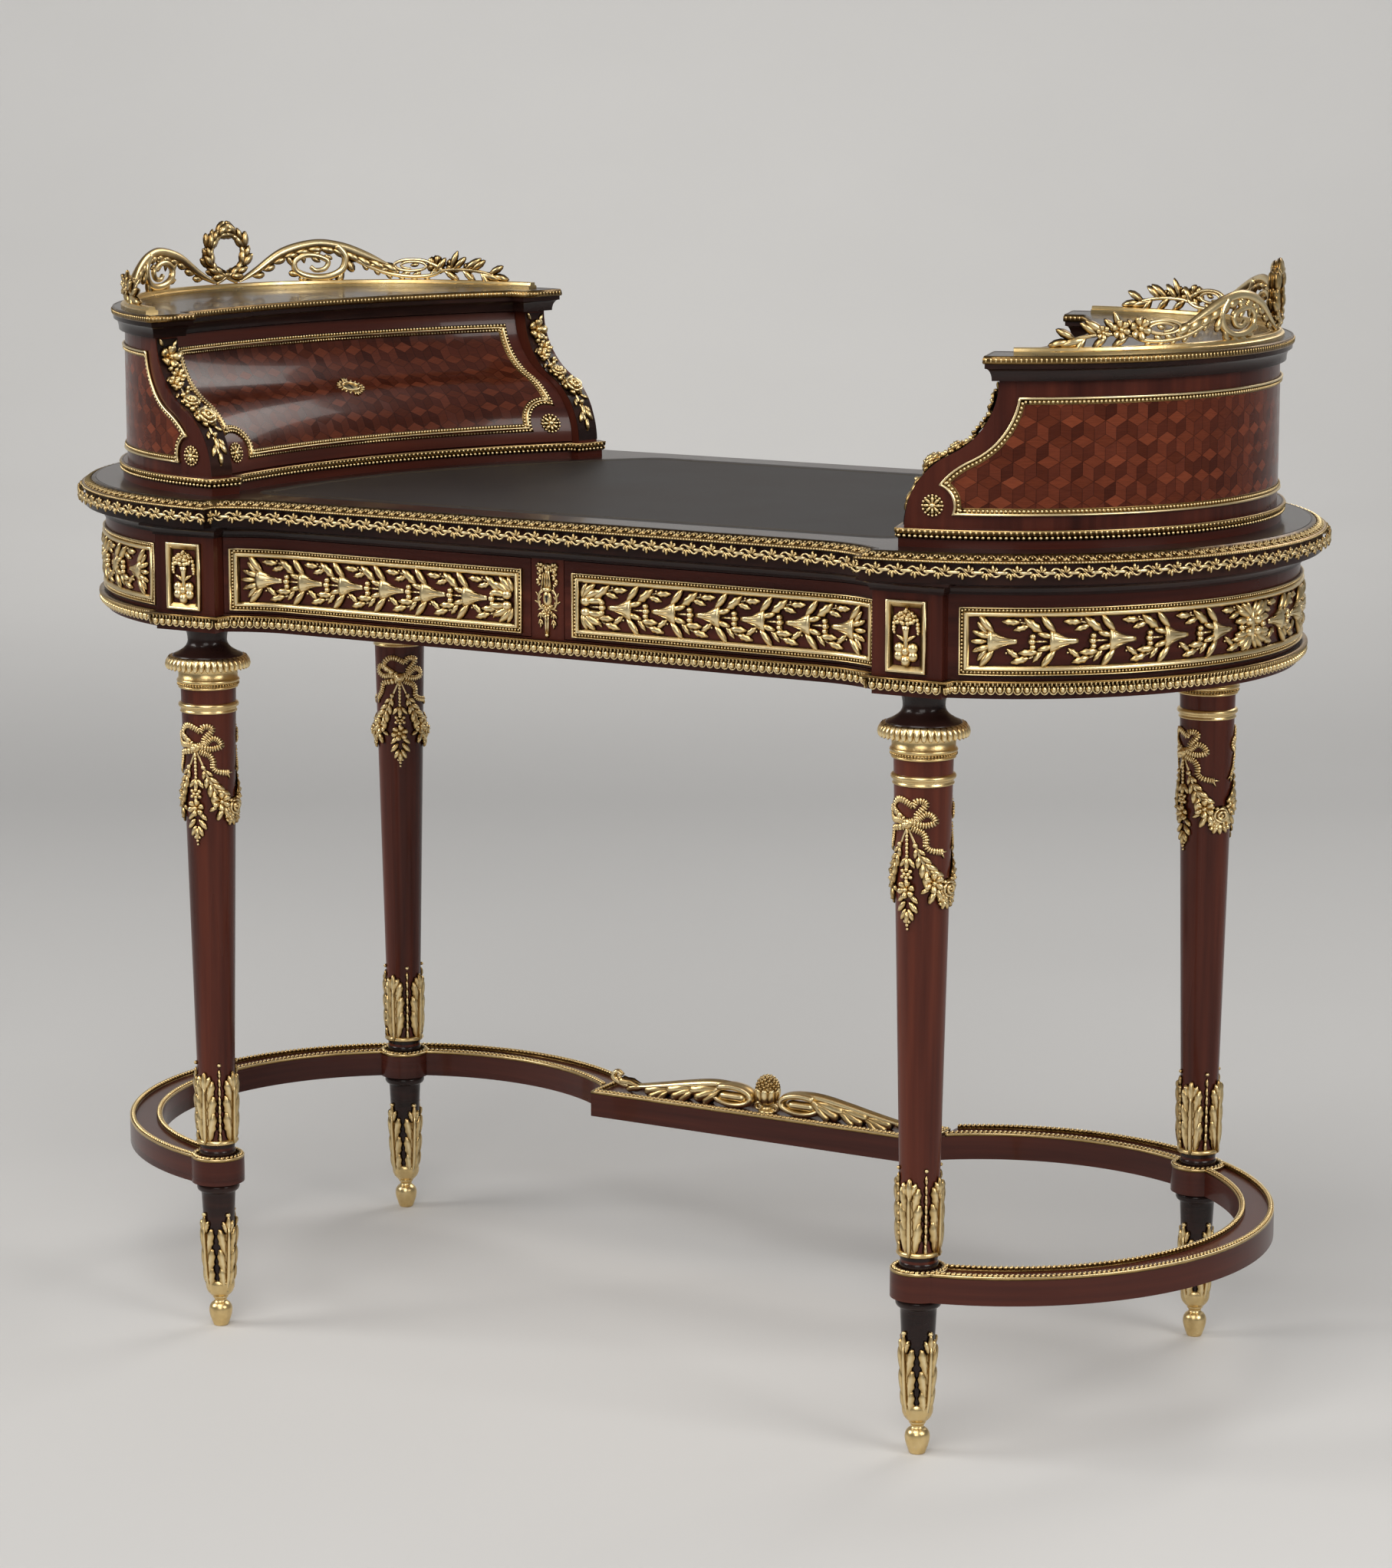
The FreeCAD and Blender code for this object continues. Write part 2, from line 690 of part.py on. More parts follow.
def make_stretcher():
    inner = stretcher_r - stretcher_w / 2
    outer = stretcher_r + stretcher_w / 2
    bend = curved_stretcher(inner, outer, stretcher_z, stretcher_top)
    bend = bend.fuse(boss_discs(boss_r, stretcher_z, stretcher_top)).removeSplitter()
    for hole in boss_discs(lower_tenon_r + fit, stretcher_z, stretcher_top):
        bend = bend.cut(hole)
    save("stretcher_right", [bend])
    save("stretcher_left", [mirrored(bend)])
    bar_rear = bar_front + bar_w
    save("stretcher_bar", [box(-bar_half, bar_half, bar_front, bar_rear, stretcher_z, stretcher_top)])
    top = stretcher_top + edging_h
    strips = []
    for r0, r1 in ((inner, inner + edging_w), (outer - edging_w, outer)):
        strip = curved_stretcher(r0, r1, stretcher_top, top)
        for boss in boss_discs(boss_r, stretcher_top, top):
            strip = strip.cut(boss)
        strips += strip.Solids
    for boss, gap in zip(boss_discs(boss_r, stretcher_top, top),
                         boss_discs(boss_r - edging_w, stretcher_top, top)):
        strips.append(boss.cut(gap))
    strips += [mirrored(strip) for strip in strips]
    frame = box(-bar_half, bar_half, bar_front, bar_rear, stretcher_top, top)
    strips.append(frame.cut(box(-bar_half + edging_w, bar_half - edging_w, bar_front + edging_w,
                                bar_rear - edging_w, stretcher_top, top)))
    save("stretcher_edging", strips)
    make_bar_mount(bar_front + bar_w / 2)


def make_bar_mount(y):
    """Leaf scrolls either side of a berried finial on the middle of the bar."""
    tip = finial_seat_r + scroll_len
    low = stretcher_top
    crest = (finial_seat_r + scroll_crest, 0, low + scroll_h)
    rise = scroll_h / 2
    r = (scroll_crest ** 2 + rise ** 2) / (2 * rise)
    half = math.asin(scroll_crest / r) / 2
    way = (crest[0] - r * math.sin(half), 0, crest[2] - r + r * math.cos(half))
    edges = [arc((finial_seat_r, 0, low + rise), way, crest)]
    edges.append(line(crest, (tip, 0, low + scroll_end_h)))
    edges.append(line((tip, 0, low + scroll_end_h), (tip, 0, low)))
    edges.append(line((tip, 0, low), (finial_seat_r, 0, low)))
    edges.append(line((finial_seat_r, 0, low), (finial_seat_r, 0, low + rise)))
    leaf = Part.Face(closed(edges)).extrude(V(0, scroll_t, 0))
    leaf.translate(V(0, y - scroll_t / 2, 0))
    seat_top = low + finial_seat_h
    post = disc(0, y, finial_seat_r, low, seat_top)
    leaf = leaf.cut(post)
    save("stretcher_scroll_mount", [leaf, mirrored(leaf)])
    top = seat_top + finial_h
    path = [(0, low), (finial_seat_r, low), (finial_seat_r / 2, seat_top)]
    path += [((finial_r, seat_top + finial_h / 3), (finial_r / 2, top)), (0, top)]
    cone = turned(path)
    cone.translate(V(0, y, 0))
    save("pinecone_finial", [cone])


# Crescent cabinets

def placed(solid):
    """From the cabinet's own frame to its place on the right-hand end."""
    copy = solid.copy()
    copy.rotate(V(0, 0, 0), V(0, 0, 1), cabinet_turn)
    copy.translate(V(lobe_x, 0, 0))
    return copy


def both(solids):
    right = [placed(solid) for solid in solids]
    return right + [mirrored(solid) for solid in right]


def ogee(w, lean, z0, z1):
    """Edges of the double curve in the W-Z plane: round below, hollow above, upright
    at both ends."""
    rise = z1 - z0
    r = (rise ** 2 + lean ** 2) / (4 * lean)
    half = math.asin(rise / 2 / r) / 2
    dw = r - r * math.cos(half)
    dz = r * math.sin(half)
    middle = (w + lean / 2, 0, (z0 + z1) / 2)
    low = arc((w, 0, z0), (w + dw, 0, z0 + dz), middle)
    high = arc(middle, (w + lean - dw, 0, z1 - dz), (w + lean, 0, z1))
    return [low, high]


def behind_ogee(w, rear, z0, z1):
    """A face in the W-Z plane from the double curve back to rear."""
    edges = ogee(w, ogee_back, z0, z1)
    edges.append(line((w + ogee_back, 0, z1), (rear, 0, z1)))
    edges.append(line((rear, 0, z1), (rear, 0, z0)))
    edges.append(line((rear, 0, z0), (w, 0, z0)))
    return Part.Face(closed(edges))


def ogee_block(w, rear, t0, t1):
    solid = behind_ogee(w, rear, case_low, case_top).extrude(V(0, t1 - t0, 0))
    solid.translate(V(0, t0, 0))
    return solid


def behind_front(depth):
    """The space behind the hollow front, from depth behind its face, turned about the far axis."""
    quarter_turn = 90
    face = behind_ogee(face_r - face_axis + depth, reach, case_low, case_top)
    face.rotate(V(-face_axis, 0, 0), V(0, 0, 1), -quarter_turn / 2)
    return face.revolve(V(-face_axis, 0, 0), V(0, 0, 1), quarter_turn)


def hollow_skin(near, far, z0, z1):
    """The hollow front between two distances behind its face, kept between two heights."""
    skin = behind_front(near).cut(behind_front(far))
    return skin.common(box(-reach, reach, -reach, reach, z0, z1))


def crescent(out, lean, z0, z1):
    """The cabinet's plan grown by out, at the foot (lean 0) or the head of the ogee."""
    solid = disc(0, 0, cabinet_r + out, z0, z1)
    solid = solid.cut(box(-reach, pilaster_foot + lean - out, -reach, reach, z0, z1))
    half = front_half - out
    hollow = disc(-face_axis, 0, face_r + lean - out, z0, z1)
    return solid.cut(hollow.common(box(-reach, reach, -half, half, z0, z1)))


def case_frame():
    """Gilt frame on the outer wall, its ends following the ogee edge."""
    low = case_low + case_frame_low
    top = case_top - case_frame_top
    skin = ring(0, 0, cabinet_r, cabinet_r + case_frame_t, case_low, case_top)
    outer = ogee_block(pilaster_foot + case_frame_side, reach, -reach, reach)
    outer.translate(V(0, 0, -case_frame_drop))
    inner = ogee_block(pilaster_foot + case_frame_side + case_frame_w, reach, -reach, reach)
    inner.translate(V(0, 0, -case_frame_drop - case_frame_w / 2))
    outer = outer.common(box(-reach, reach, -reach, reach, low, top))
    inner = inner.common(box(-reach, reach, -reach, reach, low + case_frame_w, top - case_frame_w))
    return skin.common(outer.cut(inner))


def front_panel_frame():
    """Gilt frame and keyhole plate on the hollow drawer front."""
    low = case_low + case_frame_low
    top = case_top - case_frame_top
    half = front_half - front_frame_side
    skin = hollow_skin(-case_frame_t - fit, -fit, low, top)
    outer = skin.common(box(-reach, reach, -half, half, low, top))
    edge = half - case_frame_w
    frame = outer.cut(box(-reach, reach, -edge, edge, low + case_frame_w, top - case_frame_w))
    plate = Part.Ellipse(V(0, 0, 0), escutcheon_w / 2, escutcheon_h / 2).toShape()
    plate = Part.Face(Part.Wire([plate])).extrude(V(0, 0, reach))
    plate.rotate(V(0, 0, 0), V(1, 0, 0), 90)
    plate.rotate(V(0, 0, 0), V(0, 0, 1), 90)
    plate.translate(V(-face_axis, 0, case_low + lock_lift))
    plate = plate.common(hollow_skin(-escutcheon_t - fit, -fit, low, top))
    return [frame, plate]


def cabinet_drawer_box():
    """Two sides, a back and a bottom behind the hollow front."""
    low = case_low + case_runner_h + slide_gap
    top = low + box_h
    space = behind_front(front_t)
    inner = box_half - box_wall
    rear = box_back - box_wall
    boards = [box(-reach, box_back, side, side + box_wall, low, top) for side in (-box_half, inner)]
    boards.append(box(rear, box_back, -inner, inner, low, top))
    boards.append(box(-reach, rear, -inner, inner, low, low + box_bottom_t))
    return [board.common(space) for board in boards]


def case_runners():
    """L-shaped strips that the cabinet drawer runs on and between."""
    start = face_r - face_axis + front_t
    end = box_back - box_wall
    strips = []
    for side in (-1, 1):
        edge = box_half + slide_gap
        outer = edge + case_guide_w
        inner = outer - case_runner_w
        tread = sorted((side * inner, side * outer))
        fence = sorted((side * edge, side * outer))
        strip = box(start, end, tread[0], tread[1], case_low, case_low + case_runner_h)
        strip = strip.fuse(box(start, end, fence[0], fence[1], case_low, case_low + case_guide_h))
        strips.append(strip.removeSplitter())
    return strips


def pilasters():
    """Two flat-faced ogee posts beside the drawer front, rounded to the outer wall."""
    barrel = disc(0, 0, cabinet_r, case_low, case_top)
    inner = front_half + front_gap
    posts = []
    for t0, t1 in ((inner, reach), (-reach, -inner)):
        posts.append(ogee_block(pilaster_foot, pilaster_rear, t0, t1).common(barrel))
    return posts


def gallery_ring(degrees, z, r, width):
    """A ring cut through the gallery's curved plate, centred at an angle and height."""
    solid = Part.makeCylinder(r, reach, V(0, 0, z), V(1, 0, 0))
    solid = solid.cut(Part.makeCylinder(r - width, reach, V(0, 0, z), V(1, 0, 0)))
    solid.rotate(V(0, 0, 0), V(0, 0, 1), degrees)
    return solid


def gallery_shape():
    """Pierced plate of a wreath between scrolls and leaf sprays, standing on the rail."""
    rings = [gallery_ring(0, rail_top + wreath_r - wreath_band / 4, wreath_r, wreath_band)]
    for side in (-1, 1):
        rings.append(gallery_ring(side * arch_turn, rail_top, arch_r, arch_band))
        rings.append(gallery_ring(side * arch_turn, rail_top + curl_r - arch_band / 4, curl_r, arch_band))
        rings.append(gallery_ring(side * small_turn, rail_top, small_r, small_band))
    top = rail_top + 2 * wreath_r
    plate = ring(0, 0, rail_r - gallery_t / 2, rail_r + gallery_t / 2, rail_top, top)
    pieces = [plate.common(solid) for solid in rings]
    spray = ring(0, 0, rail_r - gallery_t / 2, rail_r + gallery_t / 2, rail_top, rail_top + spray_h)
    for a0, a1 in ((small_turn, spray_turn), (-spray_turn, -small_turn)):
        pieces.append(spray.common(pie(0, 0, reach, a0, a1, rail_top, rail_top + spray_h)))
    foot = ring(0, 0, rail_r - gallery_t / 2, rail_r + gallery_t / 2, rail_top, rail_top + gallery_t)
    foot = foot.common(pie(0, 0, reach, -spray_turn, spray_turn, rail_top, rail_top + gallery_t))
    return foot.fuse(pieces).removeSplitter()


def make_cabinets():
    base = crescent(plinth_out, 0, desk_h, case_low)
    save("cabinet_bases", both([base]))
    wall = ring(0, 0, cabinet_r - cabinet_wall, cabinet_r, case_low, case_top)
    wall = wall.cut(box(-reach, pilaster_rear, -reach, reach, case_low, case_top))
    save("cabinet_walls", both([wall]))
    save("cabinet_pilasters", both(pilasters()))
    top = crescent(cornice_low_out, ogee_back, case_top, cap_low)
    top = top.fuse(crescent(cap_out, ogee_back, cap_low, cap_top)).removeSplitter()
    save("cabinet_tops", both([top]))
    bead = crescent(plinth_out + plinth_bead_out, 0, case_low - plinth_bead_h, case_low)
    bead = bead.cut(crescent(plinth_out, 0, case_low - plinth_bead_h, case_low))
    band_low = cap_top - cap_band_h
    edge = crescent(cap_out + cap_band_out, ogee_back, band_low, band_low + cap_band_h)
    edge = edge.cut(crescent(cap_out, ogee_back, band_low, band_low + cap_band_h))
    save("cabinet_bands", both([bead, edge]))
    save("cabinet_wall_frames", both([case_frame()]))
    save("cabinet_runners", both(case_runners()))
    rail = ring(0, 0, rail_r - rail_w / 2, rail_r + rail_w / 2, cap_top, rail_top)
    rail = rail.cut(box(-reach, pilaster_foot + ogee_back + rail_w, -reach, reach, cap_top, rail_top))
    save("gallery_rails", both([rail]))
    save("galleries", both([gallery_shape()]))
    make_cabinet_drawers()


def make_cabinet_drawers():
    skin = hollow_skin(0, front_t, case_low + front_gap, case_top - front_gap)
    front = skin.common(box(-reach, reach, -front_half, front_half, case_low, case_top))
    middle = case_low + lock_lift
    lock = box(-reach, reach, -lock_w / 2, lock_w / 2, middle - lock_h / 2, middle + lock_h / 2)
    lock = lock.common(hollow_skin(front_t, front_t + lock_t, case_low, case_top))
    pieces = {"front": [front], "box": cabinet_drawer_box(), "lock": [lock],
              "mounts": front_panel_frame()}
    for name, solids in pieces.items():
        right = [placed(solid) for solid in solids]
        save("cabinet_drawer_" + name + "_right", right)
        save("cabinet_drawer_" + name + "_left", [mirrored(solid) for solid in right])


os.makedirs("parts", exist_ok=True)
make_top()
make_frieze()
make_drawers()
make_legs()
make_stretcher()
make_cabinets()
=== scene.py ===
import math
import bmesh
import bpy
import numpy as np
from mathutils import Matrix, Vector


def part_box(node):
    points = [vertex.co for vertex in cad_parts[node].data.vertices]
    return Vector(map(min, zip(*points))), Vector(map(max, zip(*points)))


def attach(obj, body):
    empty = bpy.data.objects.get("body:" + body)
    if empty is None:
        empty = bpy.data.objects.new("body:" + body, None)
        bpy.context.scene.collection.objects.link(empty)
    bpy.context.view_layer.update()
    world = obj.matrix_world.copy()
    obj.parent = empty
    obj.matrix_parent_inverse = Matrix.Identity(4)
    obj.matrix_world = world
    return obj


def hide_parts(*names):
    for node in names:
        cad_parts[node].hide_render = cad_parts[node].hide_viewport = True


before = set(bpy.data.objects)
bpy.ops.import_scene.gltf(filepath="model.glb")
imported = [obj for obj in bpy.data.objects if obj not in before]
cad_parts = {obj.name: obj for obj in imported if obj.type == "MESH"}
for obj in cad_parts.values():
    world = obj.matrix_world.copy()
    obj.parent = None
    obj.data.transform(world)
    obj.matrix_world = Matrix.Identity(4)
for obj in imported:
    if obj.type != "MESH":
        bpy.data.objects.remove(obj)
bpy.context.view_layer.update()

# A kidney-shaped writing desk with gilt mounts. Sizes are millimetres in the frame's own axes, and piece()
# turns them into metres. A mount is shaped flat, with s to the right, t up and n out of the ground, and is
# then laid on one of the desk's curved faces.
MM = 0.001
TAU = 2 * math.pi
ROOT3 = math.sqrt(3)
UP = np.array([0.0, 0.0, 1.0])


def span(node, axis=2):
    """Where a node starts and ends along one axis, in millimetres."""
    low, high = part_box(node)
    return low[axis] / MM, high[axis] / MM


# Plan of the frieze: two round ends, a front with coves, and blocks over the legs
lobe_x = 316.0
frieze_r = 252.0
front_face = 222.0
cove_x = 264.0
cove_r = 114.0
block_in = 324.0
block_out = 387.0
shoulder_x = 339.0
leg_x = (block_in + block_out) / 2
leg_circle = frieze_r - (block_out - block_in) / 2
back_leg_turn = math.radians(60)
block_turn = -math.acos((block_out - lobe_x) / frieze_r)
half_block = (block_out - block_in) / 2 / frieze_r
panel_gap = math.radians(2)

# Heights of the frieze and the top, and how far the top's edges stand out
panel_low, panel_top = span("frieze_panel_frames")
panel_middle = (panel_low + panel_top) / 2
block_low, block_top = span("block_frames")
block_middle = (block_low + block_top) / 2
mount_low, mount_top = span("stile_mount")
egg_low, egg_top = span("egg_and_dart_band")
moulding_low, moulding_top = span("frieze_moulding")
vine_low, vine_top = span("vine_band")
desk_h = span("top_board")[1]
edge_out = 18.0
rim_in = 8.0
rim_out = 22.0
rim_h = 7.0
leather_gap = 20.0
leather_margin = 22.0

# Stretcher: bent stretchers with bosses under the legs, and a straight bar behind
stretcher_top = span("stretcher_bar")[1]
stretcher_r = 228.0
stretcher_half = 15.0
boss_r = 24.0
bar_middle = 164.5
bar_reach = 180.0
bar_half = 23.5

# Cabinets: a round wall behind a hollow ogee front between two pilasters
case_low, case_top = span("cabinet_walls")
cap_top = span("cabinet_tops")[1]
rail_top = span("gallery_rails")[1]
cabinet_turn = math.radians(16.8)
cabinet_r = 231.0
face_axis = 534.0
face_r = 540.0
front_half = cabinet_r - 27
pilaster_foot = math.sqrt(face_r ** 2 - front_half ** 2) - face_axis - 9
pilaster_out = 228.0
gallery_r = 228.0
ogee_back = 76.0
case_h = case_top - case_low
ogee_r = (case_h ** 2 + ogee_back ** 2) / (4 * ogee_back)
ogee_bend = math.asin(case_h / 2 / ogee_r)
ogee_length = 2 * ogee_r * ogee_bend


# Building surfaces

def skin(points, around=True, closed=False):
    """Quads over a grid of rows and columns. Around joins the last column to the first and closed the last
    row to the first; an end row whose points all meet is one pole."""
    rows, cols = points.shape[:2]
    index = np.arange(rows * cols).reshape(rows, cols)
    for end in (0, -1):
        if np.ptp(points[end, :, :3], axis=0).max() < 1e-6:
            index[end] = index[end, 0]
    if around:
        index = np.column_stack([index, index[:, :1]])
    if closed:
        index = np.vstack([index, index[:1]])
    quads = np.stack([index[:-1, :-1], index[:-1, 1:], index[1:, 1:], index[1:, :-1]], -1).reshape(-1, 4)
    used, flat = np.unique(quads, return_inverse=True)
    return points.reshape(-1, points.shape[-1])[used], flat.reshape(-1, 4)


def capped(loops):
    """A skin over rows that are each a closed loop, its first and last rows drawn to a point."""
    ends = [np.repeat(loops[k].mean(0)[None, None], loops.shape[1], 1) for k in (0, -1)]
    return skin(np.concatenate([ends[0], loops, ends[1]]))


def lay(s, t, n, relief_shade):
    """One array of places and relief shades (painted light and shade) from four that broadcast together."""
    return np.stack(np.broadcast_arrays(s, t, n, relief_shade), -1).astype(float)


def rays(radius, angle):
    """Level places at a radius and an angle about the origin."""
    return np.column_stack([radius * np.cos(angle), radius * np.sin(angle)])


def unit_ways(ways):
    """Ways, each divided by its length."""
    return ways / np.linalg.norm(ways, axis=1)[:, None]


def left_of(ahead):
    """Level ways turned a quarter to the left."""
    return np.column_stack([-ahead[:, 1], ahead[:, 0]])


def bearing(ahead):
    """The angle of each level way."""
    return np.arctan2(ahead[:, 1], ahead[:, 0])


def join(shapes):
    """Several shapes as one."""
    points, quads = zip(*shapes)
    starts = np.cumsum([0] + [len(part) for part in points])
    return np.concatenate(points), np.concatenate([part + start for part, start in zip(quads, starts)])


def copies(shape, frames):
    """A shape repeated in each of many frames."""
    points, quads = shape
    placed = np.einsum("kij,nj->kni", frames[:, :, :3], points[:, :3]) + frames[:, None, :, 3]
    relief_shade = np.broadcast_to(points[:, 3:], (len(frames), len(points), 1))
    step = np.arange(len(frames))[:, None, None] * len(points)
    return np.concatenate([placed, relief_shade], -1).reshape(-1, 4), (quads + step).reshape(-1, 4)


def put(shape, s, t, degrees=0.0, size=1.0, n=0.0):
    """A shape repeated at places on the flat ground, turned in the plane by degrees and scaled."""
    return copies(shape, spots(s, t, np.radians(degrees), size, n))


def moved(shape, x, y, z=0.0):
    """A shape carried to a place."""
    return shape[0] + (x, y, z, 0), shape[1]


def wrap(shape, ground):
    """A flat shape laid on a ground, a function from s, t and n to places."""
    points, quads = shape
    return np.column_stack([ground(*points[:, :3].T), points[:, 3]]), quads


def mirror(shape, axis=0):
    """A shape and its reflection."""
    points, quads = shape
    other = points.copy()
    other[:, axis] *= -1
    return join([shape, (other, quads[:, ::-1])])


def spots(s, t, turn=0.0, size=1.0, n=0.0):
    """Frames at places on the flat ground, each turned in the plane and scaled."""
    s, t, turn, size, n = np.broadcast_arrays(*np.atleast_1d(s, t, turn, size, n))
    frames = np.zeros((len(s), 3, 4))
    frames[:, 0, 0] = frames[:, 1, 1] = np.cos(turn) * size
    frames[:, 1, 0] = np.sin(turn) * size
    frames[:, 0, 1] = -frames[:, 1, 0]
    frames[:, 2, 2] = size
    frames[:, :, 3] = np.stack([s, t, n], 1)
    return frames


def upright(places, ahead, z, tilt=0.0):
    """Frames along a level line, s ahead, t up and n to the right of the way; tilt leans t inwards."""
    right = np.column_stack([ahead[:, 1], -ahead[:, 0], np.zeros(len(ahead))])
    frames = np.zeros((len(places), 3, 4))
    frames[:, :2, 0] = ahead
    frames[:, :, 1] = math.cos(tilt) * UP - math.sin(tilt) * right
    frames[:, :, 2] = math.sin(tilt) * UP + math.cos(tilt) * right
    frames[:, :2, 3] = places
    frames[:, 2, 3] = z
    return frames


def hanging(frames):
    """Upright frames turned a quarter, so that a leaf along s hangs down."""
    turned_frames = frames.copy()
    turned_frames[:, :, 0] = -frames[:, :, 1]
    turned_frames[:, :, 1] = frames[:, :, 0]
    return turned_frames


def along(line, spacing, closed=True):
    """Evenly spaced places on a line, and the way ahead at each."""
    line = np.vstack([line, line[:1]]) if closed else line
    leg = np.diff(line, axis=0)
    step = np.linalg.norm(leg, axis=1)
    way = np.concatenate([[0], np.cumsum(step)])
    count = max(1, round(way[-1] / spacing))
    at = (np.arange(count) + 0.5) * way[-1] / count
    places = np.column_stack([np.interp(at, way, column) for column in line.T])
    index = np.clip(np.searchsorted(way, at) - 1, 0, len(step) - 1)
    return places, leg[index] / step[index][:, None]


def runs_between_corners(line):
    """The smooth runs of a closed line, parted where it turns a corner."""
    ahead = unit_ways(np.roll(line, -1, 0) - line)
    corners = np.flatnonzero((ahead * np.roll(ahead, 1, 0)).sum(1) < 0.9)
    line = np.roll(line, -corners[0], 0)
    line = np.vstack([line, line[:1]])
    cuts = np.append(corners - corners[0], len(line) - 1)
    return [line[start:end + 1] for start, end in zip(cuts[:-1], cuts[1:])]


def inset(line, depth):
    """A closed line moved to its left, with mitred corners."""
    normal = left_of(unit_ways(np.roll(line, -1, 0) - line))
    before = np.roll(normal, 1, 0)
    return line + depth * (normal + before) / (1 + (normal * before).sum(1))[:, None]


def curve(knots, count):
    """A smooth line through knots: a cubic between each pair, level with its neighbours."""
    knots = np.asarray(knots, float)
    ends = np.vstack([2 * knots[0] - knots[1], knots, 2 * knots[-1] - knots[-2]])
    at = np.linspace(0, len(knots) - 1, count)
    first = np.minimum(at.astype(int), len(knots) - 2)
    f = (at - first)[:, None]
    a, b, c, d = (ends[first + k] for k in range(4))
    line = b + f / 2 * (c - a + f * (2 * a - 5 * b + 4 * c - d + f * (3 * (b - c) + d - a)))
    return line if line.shape[1] == 3 else np.column_stack([line, np.zeros(count)])


def spiral(s, t, wide, high, start, turns, close, count):
    """An oval spiral about a middle, closing from full size to a share of it."""
    u = np.linspace(0, 1, count)
    angle = start + TAU * turns * u
    size = 1 - (1 - close) * u
    return np.column_stack([s + wide * size * np.cos(angle), t + high * size * np.sin(angle), 0 * u])


def polar(count, start=0.0):
    """Evenly spaced angles round a circle."""
    return start + TAU * np.arange(count) / count


def circle(radius, count=48, s=0.0, t=0.0):
    """Points round a circle in the plane."""
    return rays(radius, polar(count)) + (s, t)


def rectangle(left, right, low, high, count=48):
    """A closed oblong line, anticlockwise, with many points along its length."""
    s = np.linspace(left, right, count)
    return np.vstack([np.column_stack([s, 0 * s + low]), np.column_stack([s[::-1], 0 * s + high])])


# Shapes that mounts are made of

def leaf(length, width, height, rows=5, ribs=5, belly=0.45, lift=0.0, bend=0.0, teeth=0, back=0.1):
    """A leaf along s. Its width is a power curve that swells at belly and closes at both tips, teeth notch
    the edge, and its section is a round top with a ridge over a low back. Lift raises the tip and bend
    carries it sideways, both by the square of the way along."""
    u = ((1 - np.cos(np.linspace(0, np.pi, rows + 2))) / 2)[:, None]
    a = np.append(np.linspace(0, np.pi, ribs), 1.5 * np.pi)[None, :]
    swell = (u / belly) ** (1.4 * belly) * ((1 - u) / (1 - belly)) ** (1.4 * (1 - belly))
    notch = 1 - 0.3 * (1 - np.cos(TAU * teeth * u)) / 2
    crest = np.where(a > np.pi, -back, 0.5 * np.sin(a) + 0.5 * (1 - np.abs(np.cos(a))))
    side = width / 2 * swell * notch * np.cos(a) + bend * u ** 2
    # Fourth value, painted light and shade: dark at the edges and tips, bright along the middle, the
    # underside as bright as back
    return skin(lay(length * u, side, height * swell ** 0.7 * crest + lift * u ** 2,
                    np.abs(crest) * (0.4 + 0.6 * swell)))


def lobed(tiers, tip, height):
    """A carved leaf along s: pairs of toothed lobes that rise from a midrib one above another, and a lobe
    at the tip. A tier gives where its lobes start, their length, their lean in degrees and their width."""
    parts = []
    for start, length, lean, width in tiers:
        lobe = leaf(length, width, height, 15, 5, 0.62, teeth=4)
        parts.append(mirror(put(lobe, start, width * 0.3, lean, 1, 0.1), 1))
    start, length, width = tip
    parts.append(put(leaf(length, width, height * 0.9, 9, 5, 0.5, teeth=2), start, 0, 0, 1, 0.3))
    midrib = straight(start + length * 0.6, [1.7, 1.8, 1.6, 1.3, 0.8], 6)
    parts.append(put(midrib, 0, 0, 0, 1, height * 0.55))
    return join(parts)


def knob(wide, high, height, rows=3, cols=8, whole=False):
    """An ellipsoid: its upper half on a flat foot, or the whole."""
    v = np.linspace(np.pi / 2, -np.pi / 2 if whole else 0, rows + 1)[:, None]
    a = polar(cols)[None, :]
    # Fourth value, painted shade: darker towards the foot, painted highlight on the crown
    points = lay(wide * np.cos(v) * np.cos(a), high * np.cos(v) * np.sin(a), height * np.sin(v),
                 0.15 + 0.85 * np.abs(np.sin(v)))
    if not whole:
        points = np.concatenate([points, np.zeros((1, cols, 4))])
    return skin(points)


def tube(path, radius, cols=6, flat=1.0):
    """A round or flattened section carried along a path, closed to a point at both ends."""
    path = np.asarray(path, float)
    ahead = unit_ways(np.gradient(path, axis=0))
    side = unit_ways(np.cross(ahead, UP))
    over = np.cross(side, ahead)
    a = polar(cols)[None, :, None]
    radius = np.broadcast_to(radius, len(path))[:, None, None]
    ring = path[:, None] + radius * (np.cos(a) * side[:, None] + flat * np.sin(a) * over[:, None])
    # Painted shade on the flanks of the section, painted highlight over and under it
    relief_shade = np.broadcast_to(0.3 + 0.7 * np.abs(np.sin(a)), ring.shape[:2] + (1,))
    return capped(np.concatenate([ring, relief_shade], -1))


def straight(length, radii, cols=8, flat=1.0):
    """A turned body lying along s, from its radii."""
    path = np.zeros((len(radii), 3))
    path[:, 0] = np.linspace(0, length, len(radii))
    return tube(path, np.array(radii), cols, flat)


